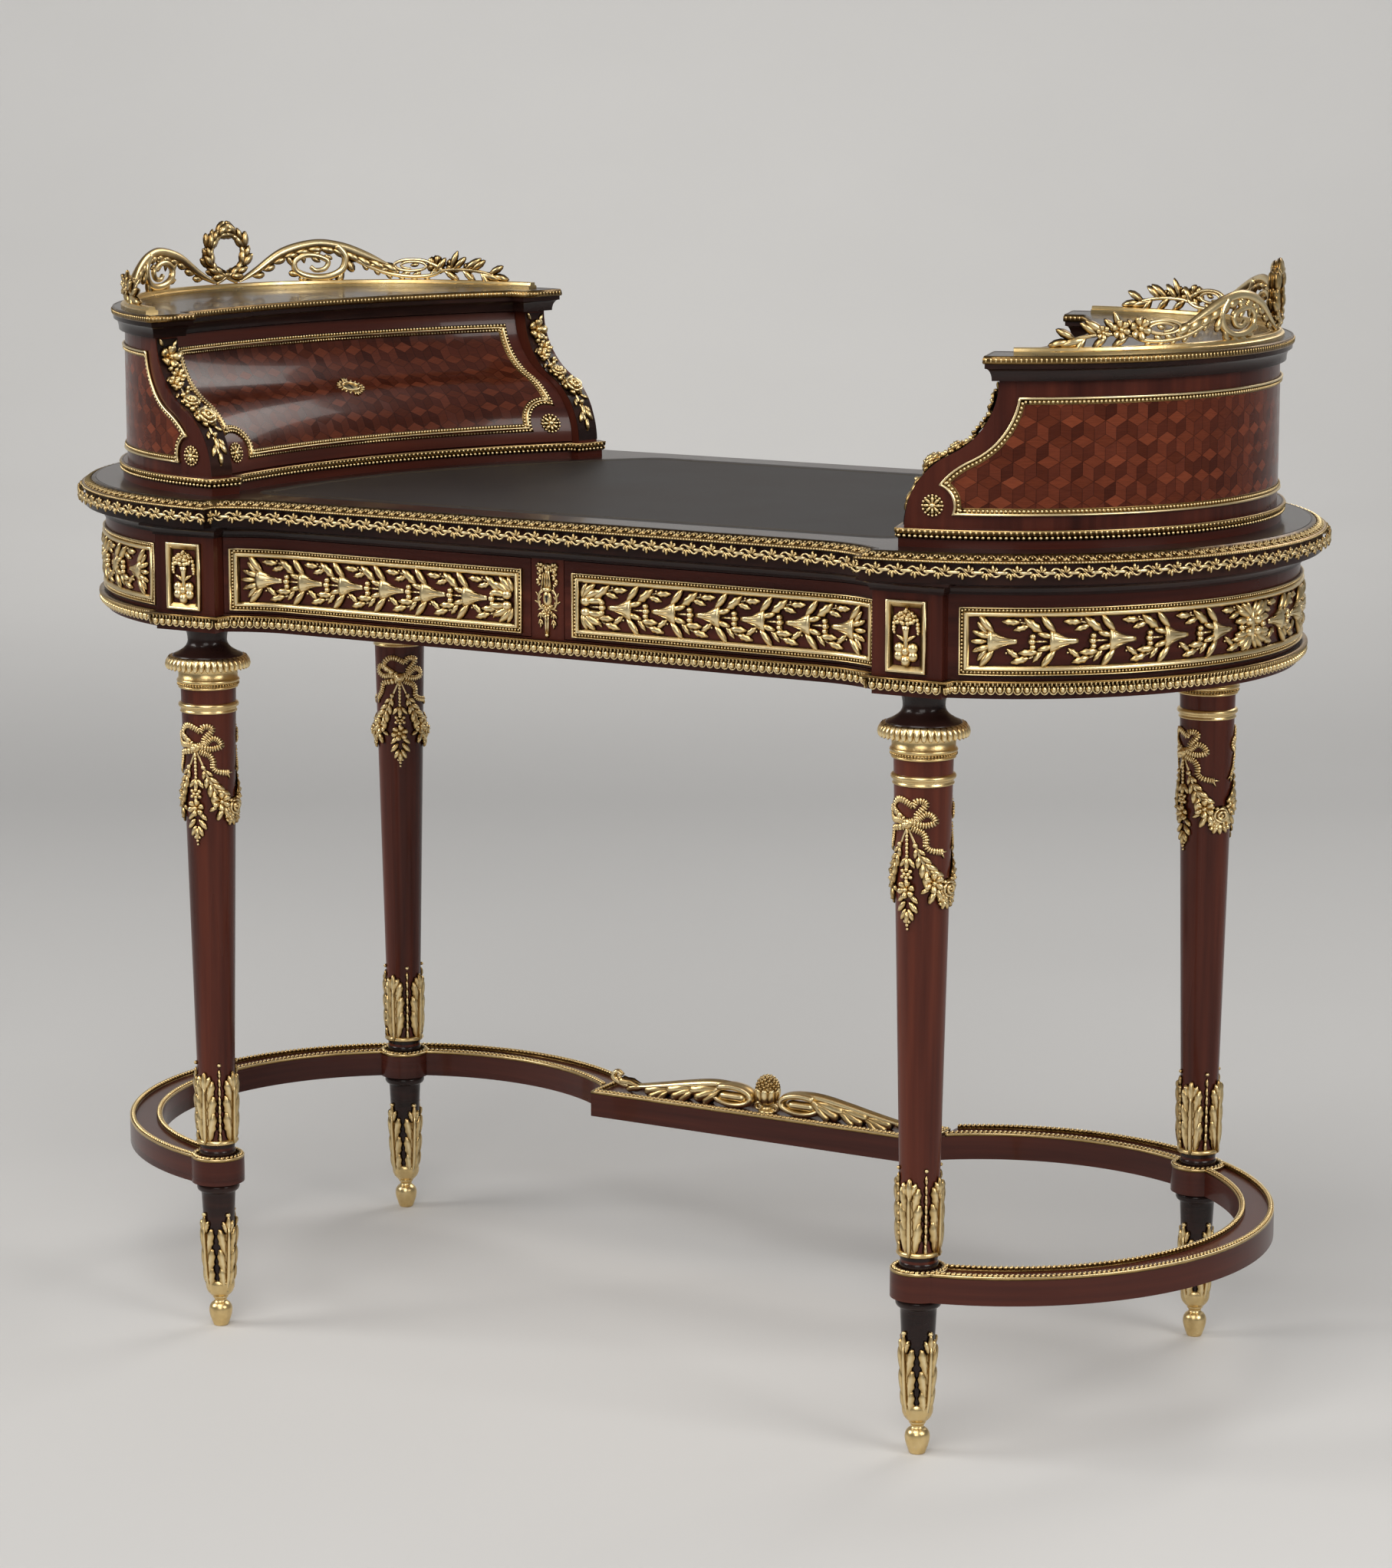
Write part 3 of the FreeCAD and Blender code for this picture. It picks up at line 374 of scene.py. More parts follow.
def plate(upper, lower, thick, cols=7):
    """A swelling plate between two edges: equal shares of both are joined across, and each face bulges by
    the sine of the way over."""
    v = np.linspace(0, 1, cols)
    flat = upper[:, None] * (1 - v[None, :, None]) + lower[:, None] * v[None, :, None]
    bulge = thick * np.sin(np.pi * v)[None, :] ** 0.7
    # Painted shade at both edges, painted highlight along the middle of the plate
    front = lay(flat[..., 0], flat[..., 1], flat[..., 2] + bulge, 0.3 + 0.7 * np.sin(np.pi * v)[None, :])
    behind = lay(flat[..., 0], flat[..., 1], flat[..., 2] - bulge, 0.3 + 0.7 * np.sin(np.pi * v)[None, :])
    return capped(np.concatenate([front, behind[:, -2:0:-1]], 1))


def hoop(line, profile):
    """A moulding on a closed flat line: pairs of depth to its left and height, carried round it."""
    top = max(height for depth, height in profile)
    # Painted shade on the low rows, painted highlight on the highest
    rows = [lay(*inset(line, depth).T, height, max(height, 0) / top) for depth, height in profile]
    return skin(np.stack(rows), closed=True)


def lath(line, profile):
    """A moulding on an open flat line: pairs of depth to its left and height, carried to closed ends."""
    ahead = unit_ways(np.gradient(line, axis=0))
    depth, height = np.array(profile).T
    # Painted shade on the low rows, painted highlight on the highest
    return capped(lay(line[:, :1] - ahead[:, 1:] * depth, line[:, 1:] + ahead[:, :1] * depth, height,
                      np.maximum(height, 0) / height.max()))


def beading(line, depth, spacing, radius, n):
    """A row of half beads at a depth inside a closed line."""
    places = along(inset(line, depth), spacing)[0]
    return copies(knob(radius, radius, radius, 2, 6), spots(*places.T, 0, 1, n))


def turned(profile, cols=48, painted_light=0.7):
    """A profile of radius and height pairs turned about the upright axis, closed at both ends."""
    profile = np.asarray(profile, float)
    ends = profile[[0, -1]] * (0, 1)
    profile = np.vstack([ends[:1], profile, ends[1:]])
    a = polar(cols)[None, :]
    r = profile[:, :1]
    # The whole turning gets one painted brightness
    return skin(lay(r * np.cos(a), r * np.sin(a), profile[:, 1:], painted_light))


def leaf_ring(count, profile, flute, scallop, ribs=0.0):
    """Leaves round the upright axis. The profile gives radius, height and how far each row is drawn in by
    flute and along by scallop in the gaps between the leaves; three ribs on a leaf are cut in by ribs."""
    a = polar(count * 12)[None, :]
    r, z, drawn = (column[:, None] for column in np.array(profile, float).T)
    gap = 1 - np.abs(np.cos(count * a / 2)) ** 0.7
    line = np.abs(np.sin(1.5 * count * a)) ** 3
    r = r - drawn * (flute * gap + ribs * line)
    # Painted shade in the gaps between the leaves and along their ribs
    relief_shade = np.clip(1 - 0.85 * gap - 0.4 * line * (ribs > 0), 0, 1)
    return skin(lay(r * np.cos(a), r * np.sin(a), z + scallop * drawn * gap, relief_shade), closed=True)


def band(plan, profile, painted_light=1.0):
    """A profile of out and height pairs carried round a level closed plan."""
    top = max(out for out, z in profile)
    low = min(out for out, z in profile)
    # Painted light that grows towards the outermost row
    rows = [lay(*plan(out).T, z, painted_light * (out - low) / (top - low)) for out, z in profile]
    return skin(np.stack(rows), closed=True)


def arc_strip(radius, start, end, profile, count=64):
    """A profile of out and height pairs carried round part of a circle, with closed ends."""
    a = np.linspace(start, end, count)[:, None]
    out, z = np.array(profile).T
    return capped(lay((radius + out) * np.cos(a), (radius + out) * np.sin(a), z, 0.7))


def sprig(knots, count, size, spread=0.55, stem=0.6, back=0.1):
    """A stem on a smooth line with leaves to either side by turns and one at the tip."""
    line = curve(knots, 14)
    length = np.linalg.norm(np.diff(line, axis=0), axis=1).sum()
    places, ahead = along(line, length / count, closed=False)
    way = bearing(ahead)
    turn = np.append(way + spread * (-1) ** np.arange(count), way[-1])
    places = np.vstack([places, line[-1:]])
    blade = leaf(size, size * 0.42, size * 0.22, 4, 3, 0.5, back=back)
    return join([tube(line, stem, 5), copies(blade, spots(places[:, 0], places[:, 1], turn))])


def flower(radius, petals=5, height=3.0, back=0.1):
    """Open petals round a button."""
    blade = leaf(radius, radius * 5.2 / petals, height * 0.6, 5, 5, 0.74, lift=height * 0.3, back=back)
    button = knob(radius * 0.3, radius * 0.3, height * 0.9, 2, 8)
    return join([copies(blade, spots(0, 0, polar(petals, 0.3))), button])


def rose(radius, height):
    """A full rose: broad petals, two rings of curled ones, and a bud."""
    parts = [copies(leaf(radius, radius * 0.9, height * 0.45, 4, 3, 0.7), spots(0, 0, polar(6)))]
    for ring, share, rise in ((4, 0.66, 0.4), (3, 0.38, 0.62)):
        a = np.linspace(0, TAU / ring * 1.15, 9)
        curl = np.column_stack([np.cos(a), np.sin(a), 0 * a]) * radius * share
        petal = tube(curl, radius * 0.17 * np.sin(np.linspace(0.5, np.pi - 0.5, 9)), 5, 1.4)
        parts.append(copies(petal, spots(0, 0, polar(ring, share * 3), 1, height * rise)))
    parts.append(knob(radius * 0.22, radius * 0.22, height, 2, 6))
    return join(parts)


def rosette(radius):
    """Eight ball-tipped petals inside a pearled outline, round a ringed button."""
    petal = leaf(radius * 0.82, radius * 0.5, 2.2, 4, 3, 0.66)
    ball = knob(radius * 0.15, radius * 0.15, 1.9, 2, 6)
    return join([knob(radius * 0.9, radius * 0.9, 0.7, 2, 16), copies(petal, spots(0, 0, polar(8), 1, 0.5)),
                 copies(ball, spots(*circle(radius * 0.87, 16).T, 0, 1, 0.2)),
                 knob(radius * 0.3, radius * 0.3, 3.4, 3, 12)])


# Grounds that mounts lie on, each a function from s, t and n to places

def on_front(s, t, n):
    """The drawer fronts: straight in the middle, turning out in a cove at each end. T is height."""
    past = np.maximum(np.abs(s) - cove_x, 0)
    drop = np.sqrt(np.maximum(cove_r ** 2 - past ** 2, 1)) - cove_r
    return np.column_stack([s, drop - front_face - n, t])


def on_lobe(side):
    """A round end: s runs about the lobe's axis from its outermost point, t is height."""
    def ground(s, t, n):
        a = s / frieze_r
        r = frieze_r + n
        return np.column_stack([side * (lobe_x + r * np.cos(a)), r * np.sin(a), t])
    return ground


def on_back(s, t, n):
    """The back: straight between the lobes and then round them. S runs to the right as seen from behind."""
    past = np.maximum(np.abs(s) - lobe_x, 0) / frieze_r
    r = frieze_r + n
    x = np.sign(s) * (np.minimum(np.abs(s), lobe_x) + r * np.sin(past))
    return np.column_stack([-x, r * np.cos(past), t])


def on_block(side):
    """The flat face of a front corner block, s from its middle."""
    return lambda s, t, n: np.column_stack([side * leg_x + s, 0 * s - frieze_r - n, t])


def on_leg(x, y, turn, radius, girth):
    """A turned leg: s goes round it from a bearing at the girth, t is height."""
    def ground(s, t, n):
        a = turn + s / girth
        r = radius(t) + n
        return np.column_stack([x + r * np.cos(a), y + r * np.sin(a), t])
    return ground


def to_desk(side, w, t, z):
    """From a cabinet's own axes, w outwards and t round, to the desk's."""
    x = lobe_x + w * math.cos(cabinet_turn) - t * math.sin(cabinet_turn)
    y = w * math.sin(cabinet_turn) + t * math.cos(cabinet_turn)
    return np.column_stack([side * x, y, z])


def ogee(length):
    """The cabinet's ogee at an arc length: how far back, how far up, and its slope."""
    upper = length > ogee_length / 2
    bend = np.where(upper, ogee_length - length, length) / ogee_r
    lean = ogee_r * (1 - np.cos(bend))
    rise = ogee_r * np.sin(bend)
    return np.where(upper, ogee_back - lean, lean), np.where(upper, case_h - rise, rise), bend


def ogee_lean(rise):
    """How far back the ogee lies at a height above the case's foot."""
    low = ogee_r - np.sqrt(ogee_r ** 2 - np.minimum(rise, case_h / 2) ** 2)
    high = ogee_r - np.sqrt(ogee_r ** 2 - (case_h - np.maximum(rise, case_h / 2)) ** 2)
    return np.where(rise < case_h / 2, low, ogee_back - high)


def on_hollow(side):
    """A cabinet's hollow ogee front: s to the right as seen, t the length up the ogee."""
    def ground(s, t, n):
        lean, rise, slope = ogee(t)
        r = face_r + lean - n * np.cos(slope)
        w = np.sqrt(r ** 2 - s ** 2) - face_axis
        return to_desk(side, w, -s, case_low + rise + n * np.sin(slope))
    return ground


def on_pilaster(side, middle):
    """The ogee face of a pilaster, s from its middle and t the length up the ogee."""
    def ground(s, t, n):
        lean, rise, slope = ogee(t)
        return to_desk(side, pilaster_foot + lean - n * np.cos(slope), middle - s,
                       case_low + rise + n * np.sin(slope))
    return ground


def on_round(side, radius, foot):
    """An upright round wall about a cabinet's axis: s goes round it, t is up from its foot."""
    def ground(s, t, n):
        a = s / radius
        return to_desk(side, (radius + n) * np.cos(a), (radius + n) * np.sin(a), foot + t)
    return ground


def in_cabinet(side):
    """A cabinet's own axes: w outwards, t round and z up."""
    return lambda w, t, z: to_desk(side, w, t, z)


def desk_plan(out, stepped=False):
    """The desk's outline moved outwards, anticlockwise from the middle of the front. Stepped follows the
    corner blocks over the front legs."""
    r = frieze_r + out
    x_in = (block_in if stepped else shoulder_x) - out
    x_out = block_out + out if stepped else x_in
    flat = np.linspace(0, cove_x, 24)
    cove = np.linspace(0, math.asin((x_in - cove_x) / (cove_r - out)), 16)[1:]
    round_start = math.asin(-math.sqrt(r ** 2 - (x_out - lobe_x) ** 2) / r)
    turn = np.linspace(round_start, math.pi / 2, 64)
    rear = np.linspace(lobe_x, 0, 24)[1:]
    lines = [np.column_stack([flat, 0 * flat - front_face - out]),
             np.column_stack([cove_x + (cove_r - out) * np.sin(cove),
                              (cove_r - out) * np.cos(cove) - front_face - cove_r])]
    if stepped:
        lines.append(np.array([[x_in, -r], [x_out, -r]]))
    lines.append(rays(r, turn) + (lobe_x, 0))
    lines.append(np.column_stack([rear, 0 * rear + r]))
    half = np.vstack(lines)
    return np.vstack([half, half[-2:0:-1] * (-1, 1)])


def stepped_plan(out):
    """The frieze's outline moved outwards, round the corner blocks."""
    return desk_plan(out, True)


def crescent_plan(out, lean, side):
    """A cabinet's outline moved outwards, with its front set back by the ogee's lean."""
    r = cabinet_r + out
    w = pilaster_foot + lean - out
    half = front_half - out
    hollow = face_r + lean - out
    end = math.acos(w / r)
    turn = np.linspace(-end, end, 72)
    bend = math.asin(half / hollow)
    face = np.linspace(bend, -bend, 32)
    front = rays(hollow, face) - (face_axis, 0)
    line = np.vstack([rays(r, turn), [[w, half]], front, [[w, -half]]])
    return to_desk(side, *line.T, 0 * line[:, 0])[::side, :2]


def crescent(side, lean):
    """A cabinet's outline at one lean, as a function of how far out it is moved."""
    return lambda out: crescent_plan(out, lean, side)


# Finishes

class Finish:
    """A material in the making."""

    def __init__(self, name):
        self.material = bpy.data.materials.new(name)
        self.material.use_nodes = True
        self.tree = self.material.node_tree
        self.shader = self.tree.nodes["Principled BSDF"]

    def set(self, node, values):
        """Give sockets their values, or link them."""
        for key, value in values.items():
            if isinstance(value, bpy.types.NodeSocket):
                self.tree.links.new(value, node.inputs[key])
            else:
                node.inputs[key].default_value = value

    def add(self, kind, values=None, out=0, **settings):
        """A node with its settings, values and links; gives back one output."""
        node = self.tree.nodes.new("ShaderNode" + kind)
        for key, value in settings.items():
            setattr(node, key, value)
        self.set(node, values or {})
        return node.outputs[out]

    def sum(self, kind, *values):
        """Numbers joined by a kind of sum."""
        return self.add("Math", dict(enumerate(values)), operation=kind)

    def vector(self, kind, *values):
        """Vectors joined by a kind of sum."""
        return self.add("VectorMath", dict(enumerate(values)), operation=kind)

    def length(self, vector):
        """How long a vector is."""
        return self.add("VectorMath", {0: vector}, out="Value", operation="LENGTH")

    def share(self, vector, way):
        """How far a vector goes along a way."""
        return self.add("VectorMath", {0: vector, 1: way}, out="Value", operation="DOT_PRODUCT")

    def place(self):
        """Where a point lies on its object."""
        return self.add("TexCoord", out="Object")

    def parts(self, vector):
        """The three numbers of a vector."""
        node = self.tree.nodes.new("ShaderNodeSeparateXYZ")
        self.set(node, {0: vector})
        return node.outputs

    def ramp(self, factor, *stops, step=False):
        """A colour ramp of positions and colours."""
        node = self.tree.nodes.new("ShaderNodeValToRGB")
        node.color_ramp.interpolation = "CONSTANT" if step else "LINEAR"
        while len(node.color_ramp.elements) < len(stops):
            node.color_ramp.elements.new(0.5)
        for element, (position, colour) in zip(node.color_ramp.elements, stops):
            element.position = position
            element.color = (*colour, 1)
        self.tree.links.new(factor, node.inputs["Fac"])
        return node.outputs["Color"]

    def shades(self, factor, low, high):
        """A number between two, by a factor."""
        return self.add("MapRange", {"Value": factor, "To Min": low, "To Max": high})

    def noise(self, place, scale, detail=3.0, stretch=(1, 1, 1)):
        """Noise at a place, stretched along the axes."""
        place = self.add("Mapping", {"Vector": place, "Scale": stretch})
        return self.add("TexNoise", {"Vector": place, "Scale": scale, "Detail": detail})

    def mixed(self, factor, first, second, kind="MIX"):
        """Two colours mixed. The node's colours are its sockets 6 and 7, and its output 2."""
        node = self.tree.nodes.new("ShaderNodeMix")
        node.data_type = "RGBA"
        node.blend_type = kind
        self.set(node, {0: factor, 6: first, 7: second})
        return node.outputs[2]

    def done(self, colour, roughness, bump=None, strength=0.1, **constants):
        """Link the shader, with plain constants on its other sockets."""
        self.set(self.shader, {"Base Color": colour, "Roughness": roughness})
        self.set(self.shader, {key.replace("_", " "): value for key, value in constants.items()})
        if bump is not None:
            height = self.add("Bump", {"Height": bump, "Strength": strength, "Distance": 0.0005})
            self.set(self.shader, {"Normal": height})
        return self.material


def polished_wood(name, dark, middle, light, stretch, coat=0.15):
    """French-polished wood: faint streaks of grain over slow cloudy figure, under a clear coat."""
    made = Finish(name)
    place = made.place()
    grain = made.noise(place, 1.0, 5.0, stretch)
    figure = made.noise(place, 1.0, 2.0, [k / 8 for k in stretch])
    tone = made.sum("MULTIPLY_ADD", grain, 0.4, made.sum("MULTIPLY", figure, 0.6))
    colour = made.ramp(tone, (0.34, dark), (0.5, middle), (0.66, light))
    return made.done(colour, made.shades(figure, 0.22, 0.34), grain, 0.03, Coat_Weight=coat,
                     Coat_Roughness=0.06, Specular_IOR_Level=0.16)


def hexagons(made, place):
    """The nearer of two lattices about a place: the place from the middle of its hexagon."""
    cells = []
    for shift in (0.0, 0.5):
        shifted = made.vector("ADD", place, (shift, shift * ROOT3, 0))
        inside = made.vector("WRAP", shifted, (1, ROOT3, 1), (0, 0, 0))
        cells.append(made.vector("SUBTRACT", inside, (0.5, ROOT3 / 2, 0)))
    reach = [made.length(cell) for cell in cells]
    return made.mixed(made.sum("LESS_THAN", reach[1], reach[0]), cells[0], cells[1])


def hexagon_edge(made, cell):
    """How far a place in a hexagon lies from the hexagon's nearest side."""
    around = made.vector("ABSOLUTE", cell)
    slanting = made.share(around, (0.5, ROOT3 / 2, 0))
    level = made.share(around, (1, 0, 0))
    return made.sum("SUBTRACT", 0.5, made.sum("MAXIMUM", slanting, level))


def parquetry_wood(name, top, left, right):
    """Cube parquetry from the veneer's own measure: each hexagon is a cube, the angle about its middle
    tells the cube's face, and each face has its tone, a little of its own and a dark joint round it."""
    made = Finish(name)
    cube_edge = 10.8
    measure = made.add("Attribute", out="Vector", attribute_name="measure")
    place = made.vector("MULTIPLY", measure, [1 / (ROOT3 * cube_edge)] * 3)
    cell = hexagons(made, place)
    across, up = made.parts(cell)[:2]
    angle = made.sum("ARCTAN2", up, across)
    third = made.sum("WRAP", made.sum("MULTIPLY_ADD", angle, 3 / TAU, 2.75), 3.0, 0.0)
    face = made.sum("FLOOR", third)
    middle = made.vector("SUBTRACT", place, cell)
    whole = made.vector("FLOOR", made.vector("MULTIPLY_ADD", middle, (2, 2 / ROOT3, 0), (0.5, 0.5, 0.5)))
    own = made.add("TexWhiteNoise", {"Vector": whole, "W": face}, noise_dimensions="4D")
    base = made.ramp(made.sum("MULTIPLY", face, 0.34), (0.0, top), (0.2, left), (0.5, right), step=True)
    spread = made.ramp(own, (0.0, (0.6, 0.56, 0.54)), (1.0, (1.3, 1.26, 1.18)))
    base = made.mixed(1.0, base, spread, "MULTIPLY")
    streak = made.noise(measure, 1.0, 3.0, (0.12, 1.3, 1))
    streak = made.ramp(streak, (0.3, (0.8, 0.78, 0.75)), (0.7, (1.12, 1.1, 1.08)))
    base = made.mixed(1.0, base, streak, "MULTIPLY")
    off = made.sum("ABSOLUTE", made.sum("SUBTRACT", made.sum("FRACT", third), 0.5))
    ray = made.sum("MULTIPLY", made.sum("MULTIPLY_ADD", off, -TAU / 3, TAU / 6), made.length(cell))
    joint = made.ramp(made.sum("MINIMUM", ray, hexagon_edge(made, cell)), (0.006, (0.42, 0.4, 0.38)),
                      (0.02, (1, 1, 1)))
    colour = made.mixed(1.0, base, joint, "MULTIPLY")
    return made.done(colour, made.shades(own, 0.2, 0.3), own, 0.04, Coat_Weight=0.2, Coat_Roughness=0.06,
                     Specular_IOR_Level=0.16)


def gilding(name, plain=None):
    """Gilt bronze: painted highlight on the crests of the chasing, and dark brown in its hollows and at
    leaf edges that is partly patina and partly painted shade; a little uneven all over. A plain one has no
    chasing and no painted shade, and lies between two brightnesses."""
    made = Finish(name)
    place = made.place()
    wear = made.noise(place, 90.0, 4.0)
    fine = made.noise(place, 700.0, 2.0)
    if plain:
        high = made.shades(wear, *plain)
    else:
        # The per-point shade attribute carries painted light and shade: bright on crests, dark brown in
        # hollows and at edges
        relief_shade = made.add("Attribute", out="Fac", attribute_name="relief_shade")
        high = made.sum("MULTIPLY_ADD", relief_shade, 0.78, made.sum("MULTIPLY", wear, 0.25))
    colour = made.ramp(high, (0.18, (0.05, 0.026, 0.009)), (0.42, (0.36, 0.225, 0.08)),
                       (0.66, (0.74, 0.55, 0.26)), (0.92, (0.95, 0.79, 0.47)))
    return made.done(colour, made.shades(wear, 0.38, 0.22), fine, 0.1, Metallic=1.0)


def bare_oak():
    """Unpolished oak for linings: pale, with dark pores along the grain. The grain runs to the back on
    sides and across on the rest."""
    made = Finish("bare oak")
    place = made.place()
    facing = made.parts(made.vector("ABSOLUTE", made.add("TexCoord", out="Normal")))
    on_side = made.sum("GREATER_THAN", facing[0], 0.7)
    grains = [made.noise(place, 1.0, 6.0, way) for way in ((14, 260, 260), (260, 14, 260))]
    pored = [made.noise(place, 1.0, 2.0, way) for way in ((60, 1400, 1400), (1400, 60, 1400))]
    grain = made.mixed(on_side, *grains)
    pores = made.mixed(on_side, *pored)
    colour = made.ramp(grain, (0.3, (0.24, 0.14, 0.07)), (0.55, (0.4, 0.26, 0.14)),
                       (0.8, (0.5, 0.35, 0.21)))
    return made.done(colour, made.shades(pores, 0.6, 0.8), pores, 0.1)


def lock_brass():
    """Plain filed brass."""
    made = Finish("lock brass")
    place = made.place()
    filed = made.noise(place, 1.0, 3.0, (40, 900, 900))
    colour = made.ramp(filed, (0.3, (0.36, 0.25, 0.09)), (0.7, (0.6, 0.45, 0.2)))
    return made.done(colour, made.shades(filed, 0.3, 0.5), filed, 0.05, Metallic=1.0)


def dark_leather():
    """Worn writing leather: nearly black, finely grained, a little browner where it is rubbed."""
    made = Finish("writing leather")
    place = made.place()
    pebble = made.add("TexVoronoi", {"Vector": place, "Scale": 700.0})
    rubbed = made.noise(place, 5.0, 4.0)
    colour = made.ramp(rubbed, (0.35, (0.009, 0.007, 0.007)), (0.7, (0.022, 0.016, 0.013)))
    return made.done(colour, made.shades(rubbed, 0.44, 0.6), pebble, 0.12, Specular_IOR_Level=0.3)


def dark_hole():
    """The shadowed inside of a keyhole."""
    made = Finish("keyhole shadow")
    place = made.place()
    colour = made.ramp(made.noise(place, 300.0), (0.3, (0.006, 0.004, 0.003)), (0.7, (0.014, 0.01, 0.008)))
    return made.done(colour, 0.7)


mahogany_tones = ((0.036, 0.0074, 0.0044), (0.084, 0.0176, 0.009), (0.132, 0.03, 0.014))
deep_tones = ((0.028, 0.0065, 0.0045), (0.058, 0.013, 0.008), (0.092, 0.021, 0.0115))
dark_tones = ((0.010, 0.005, 0.004), (0.019, 0.008, 0.0065), (0.034, 0.0125, 0.0085))
tooling_tones = ((0.03, 0.021, 0.011), (0.05, 0.035, 0.018), (0.075, 0.052, 0.026))
mahogany_upright = polished_wood("mahogany, upright grain", *mahogany_tones, (140, 140, 5))
deep_mahogany = polished_wood("deep mahogany", *deep_tones, (6, 6, 160), 0.2)
deep_upright = polished_wood("deep mahogany, upright grain", *deep_tones, (140, 140, 5), 0.2)
dark_mahogany = polished_wood("dark mahogany", *dark_tones, (30, 30, 200), 0.25)
tooled = polished_wood("faded gilt tooling", *tooling_tones, (90, 90, 90), 0.0)
dark_cubes = ((0.092, 0.0225, 0.0105), (0.074, 0.018, 0.009), (0.056, 0.0132, 0.007))
# Painted light: lighter, warmer tones for the cabinets' round outer walls, as if lamplight fell on them
lit_wall_cubes = ((0.145, 0.0345, 0.0155), (0.112, 0.026, 0.0122), (0.083, 0.019, 0.0095))
parquetry = parquetry_wood("cube parquetry", *dark_cubes)
lit_wall_parquetry = parquetry_wood("lit wall cube parquetry", *lit_wall_cubes)
gilt = gilding("chased gilt bronze")
plain_gilt = gilding("plain gilt bronze", (0.5, 0.85))
oak = bare_oak()
brass = lock_brass()
leather = dark_leather()
shadow = dark_hole()


def piece(name, shapes, finish, body="desk", stands_for=(), crease=None, measure=None):
    """One finished piece from its shapes: a mesh in metres with outward faces, its relief shade (painted
    light and shade for gilding) and measure kept as attributes, riding its body."""
    points, quads = join(shapes)
    keep = quads != np.roll(quads, -1, 1)
    sound = keep.sum(1) > 2
    quads, keep = quads[sound], keep[sound]
    counts = keep.sum(1)
    corners = quads[keep]
    mesh = bpy.data.meshes.new(name)
    mesh.vertices.add(len(points))
    mesh.vertices.foreach_set("co", (points[:, :3] * MM).astype(np.float32).ravel())
    mesh.loops.add(len(corners))
    mesh.loops.foreach_set("vertex_index", corners.astype(np.int32))
    mesh.polygons.add(len(counts))
    mesh.polygons.foreach_set("loop_start", (np.cumsum(counts) - counts).astype(np.int32))
    mesh.update(calc_edges=True)
    # Painted light and shade for the gilding, kept on each point
    relief_shade = mesh.attributes.new("relief_shade", "FLOAT", "POINT")
    relief_shade.data.foreach_set("value", points[:, 3].astype(np.float32))
    if measure is not None:
        kept = mesh.attributes.new("measure", "FLOAT_VECTOR", "POINT")
        kept.data.foreach_set("vector", measure.astype(np.float32).ravel())
    work = bmesh.new()
    work.from_mesh(mesh)
    bmesh.ops.recalc_face_normals(work, faces=work.faces)
    work.to_mesh(mesh)
    work.free()
    mesh.polygons.foreach_set("use_smooth", np.ones(len(mesh.polygons), bool))
    if crease:
        mesh.set_sharp_from_angle(angle=math.radians(crease))
    mesh.materials.append(finish)
    made = bpy.data.objects.new(name, mesh)
    bpy.context.collection.objects.link(made)
    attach(made, body)
    if stands_for:
        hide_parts(*stands_for)
    return made


def finish_nodes(finish, *names):
    """Give nodes of the frame a finish."""
    for name in names:
        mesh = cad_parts[name].data
        mesh.materials.clear()
        mesh.materials.append(finish)


sides = ((-1, "left"), (1, "right"))


# Woods of the frame

def woods():
    """Finishes for the parts that stay as they are built."""
    finish_nodes(deep_mahogany, "stretcher_left", "stretcher_right", "stretcher_bar", "frieze_left",
                 "frieze_right", "frieze_back", "front_top_rail", "front_bottom_rail", "cabinet_bases",
                 "desk_drawer_front_left", "desk_drawer_front_right", "cabinet_drawer_front_left",
                 "cabinet_drawer_front_right")
    finish_nodes(deep_upright, "front_block_left", "front_block_right", "centre_stile", "cabinet_walls",
                 "cabinet_pilasters")
    finish_nodes(dark_mahogany, "top_board", "cabinet_tops")
    finish_nodes(oak, "dust_board", "drawer_runners", "cabinet_runners", "back_leg_blocks",
                 "desk_drawer_box_left", "desk_drawer_box_right", "cabinet_drawer_box_left",
                 "cabinet_drawer_box_right")
    finish_nodes(brass, "stile_lock", "cabinet_drawer_lock_left", "cabinet_drawer_lock_right")
    finish_nodes(leather, "leather_panel")


# Top

def rim_band():
    """The sloped gilt rim of the top: palmettes up and down it by turns over a fine pearl edge."""
    low, high = desk_h - rim_h, desk_h
    profile = [(rim_in, low), (rim_out - 1.6, low), (rim_out - 0.6, low + 0.8), (rim_out - 1.6, low + 2.0),
               (rim_out - 3.4, low + 2.2), (rim_out - 8, low + 4.4), (rim_in + 3.4, high - 0.9),
               (rim_in + 2.6, high - 0.1), (rim_in + 0.8, high), (rim_in, high - 0.3)]
    blade = leaf(4.8, 2.4, 1.3, 2, 3, 0.55)
    up = put(blade, 0, -3.9, [90, 50, 130, 14, 166], [1.5, 1.2, 1.2, 0.8, 0.8])
    down = put(blade, 5.4, 3.6, [270, 230, 310], [1.3, 1.0, 1.0])
    slope = math.atan2(7.2, 3.8)
    units = copies(join([up, down]), upright(*along(desk_plan(rim_in + 7), 10.8), low + 4.1, slope))
    pearls = copies(knob(1.1, 1.05, 1.1, 2, 6), upright(*along(desk_plan(rim_out - 1.4), 2.7), low + 1.1))
    piece("gilt_rim_band", [band(desk_plan, profile, 0.45), units, pearls], gilt,
          stands_for=["top_edge_band"])


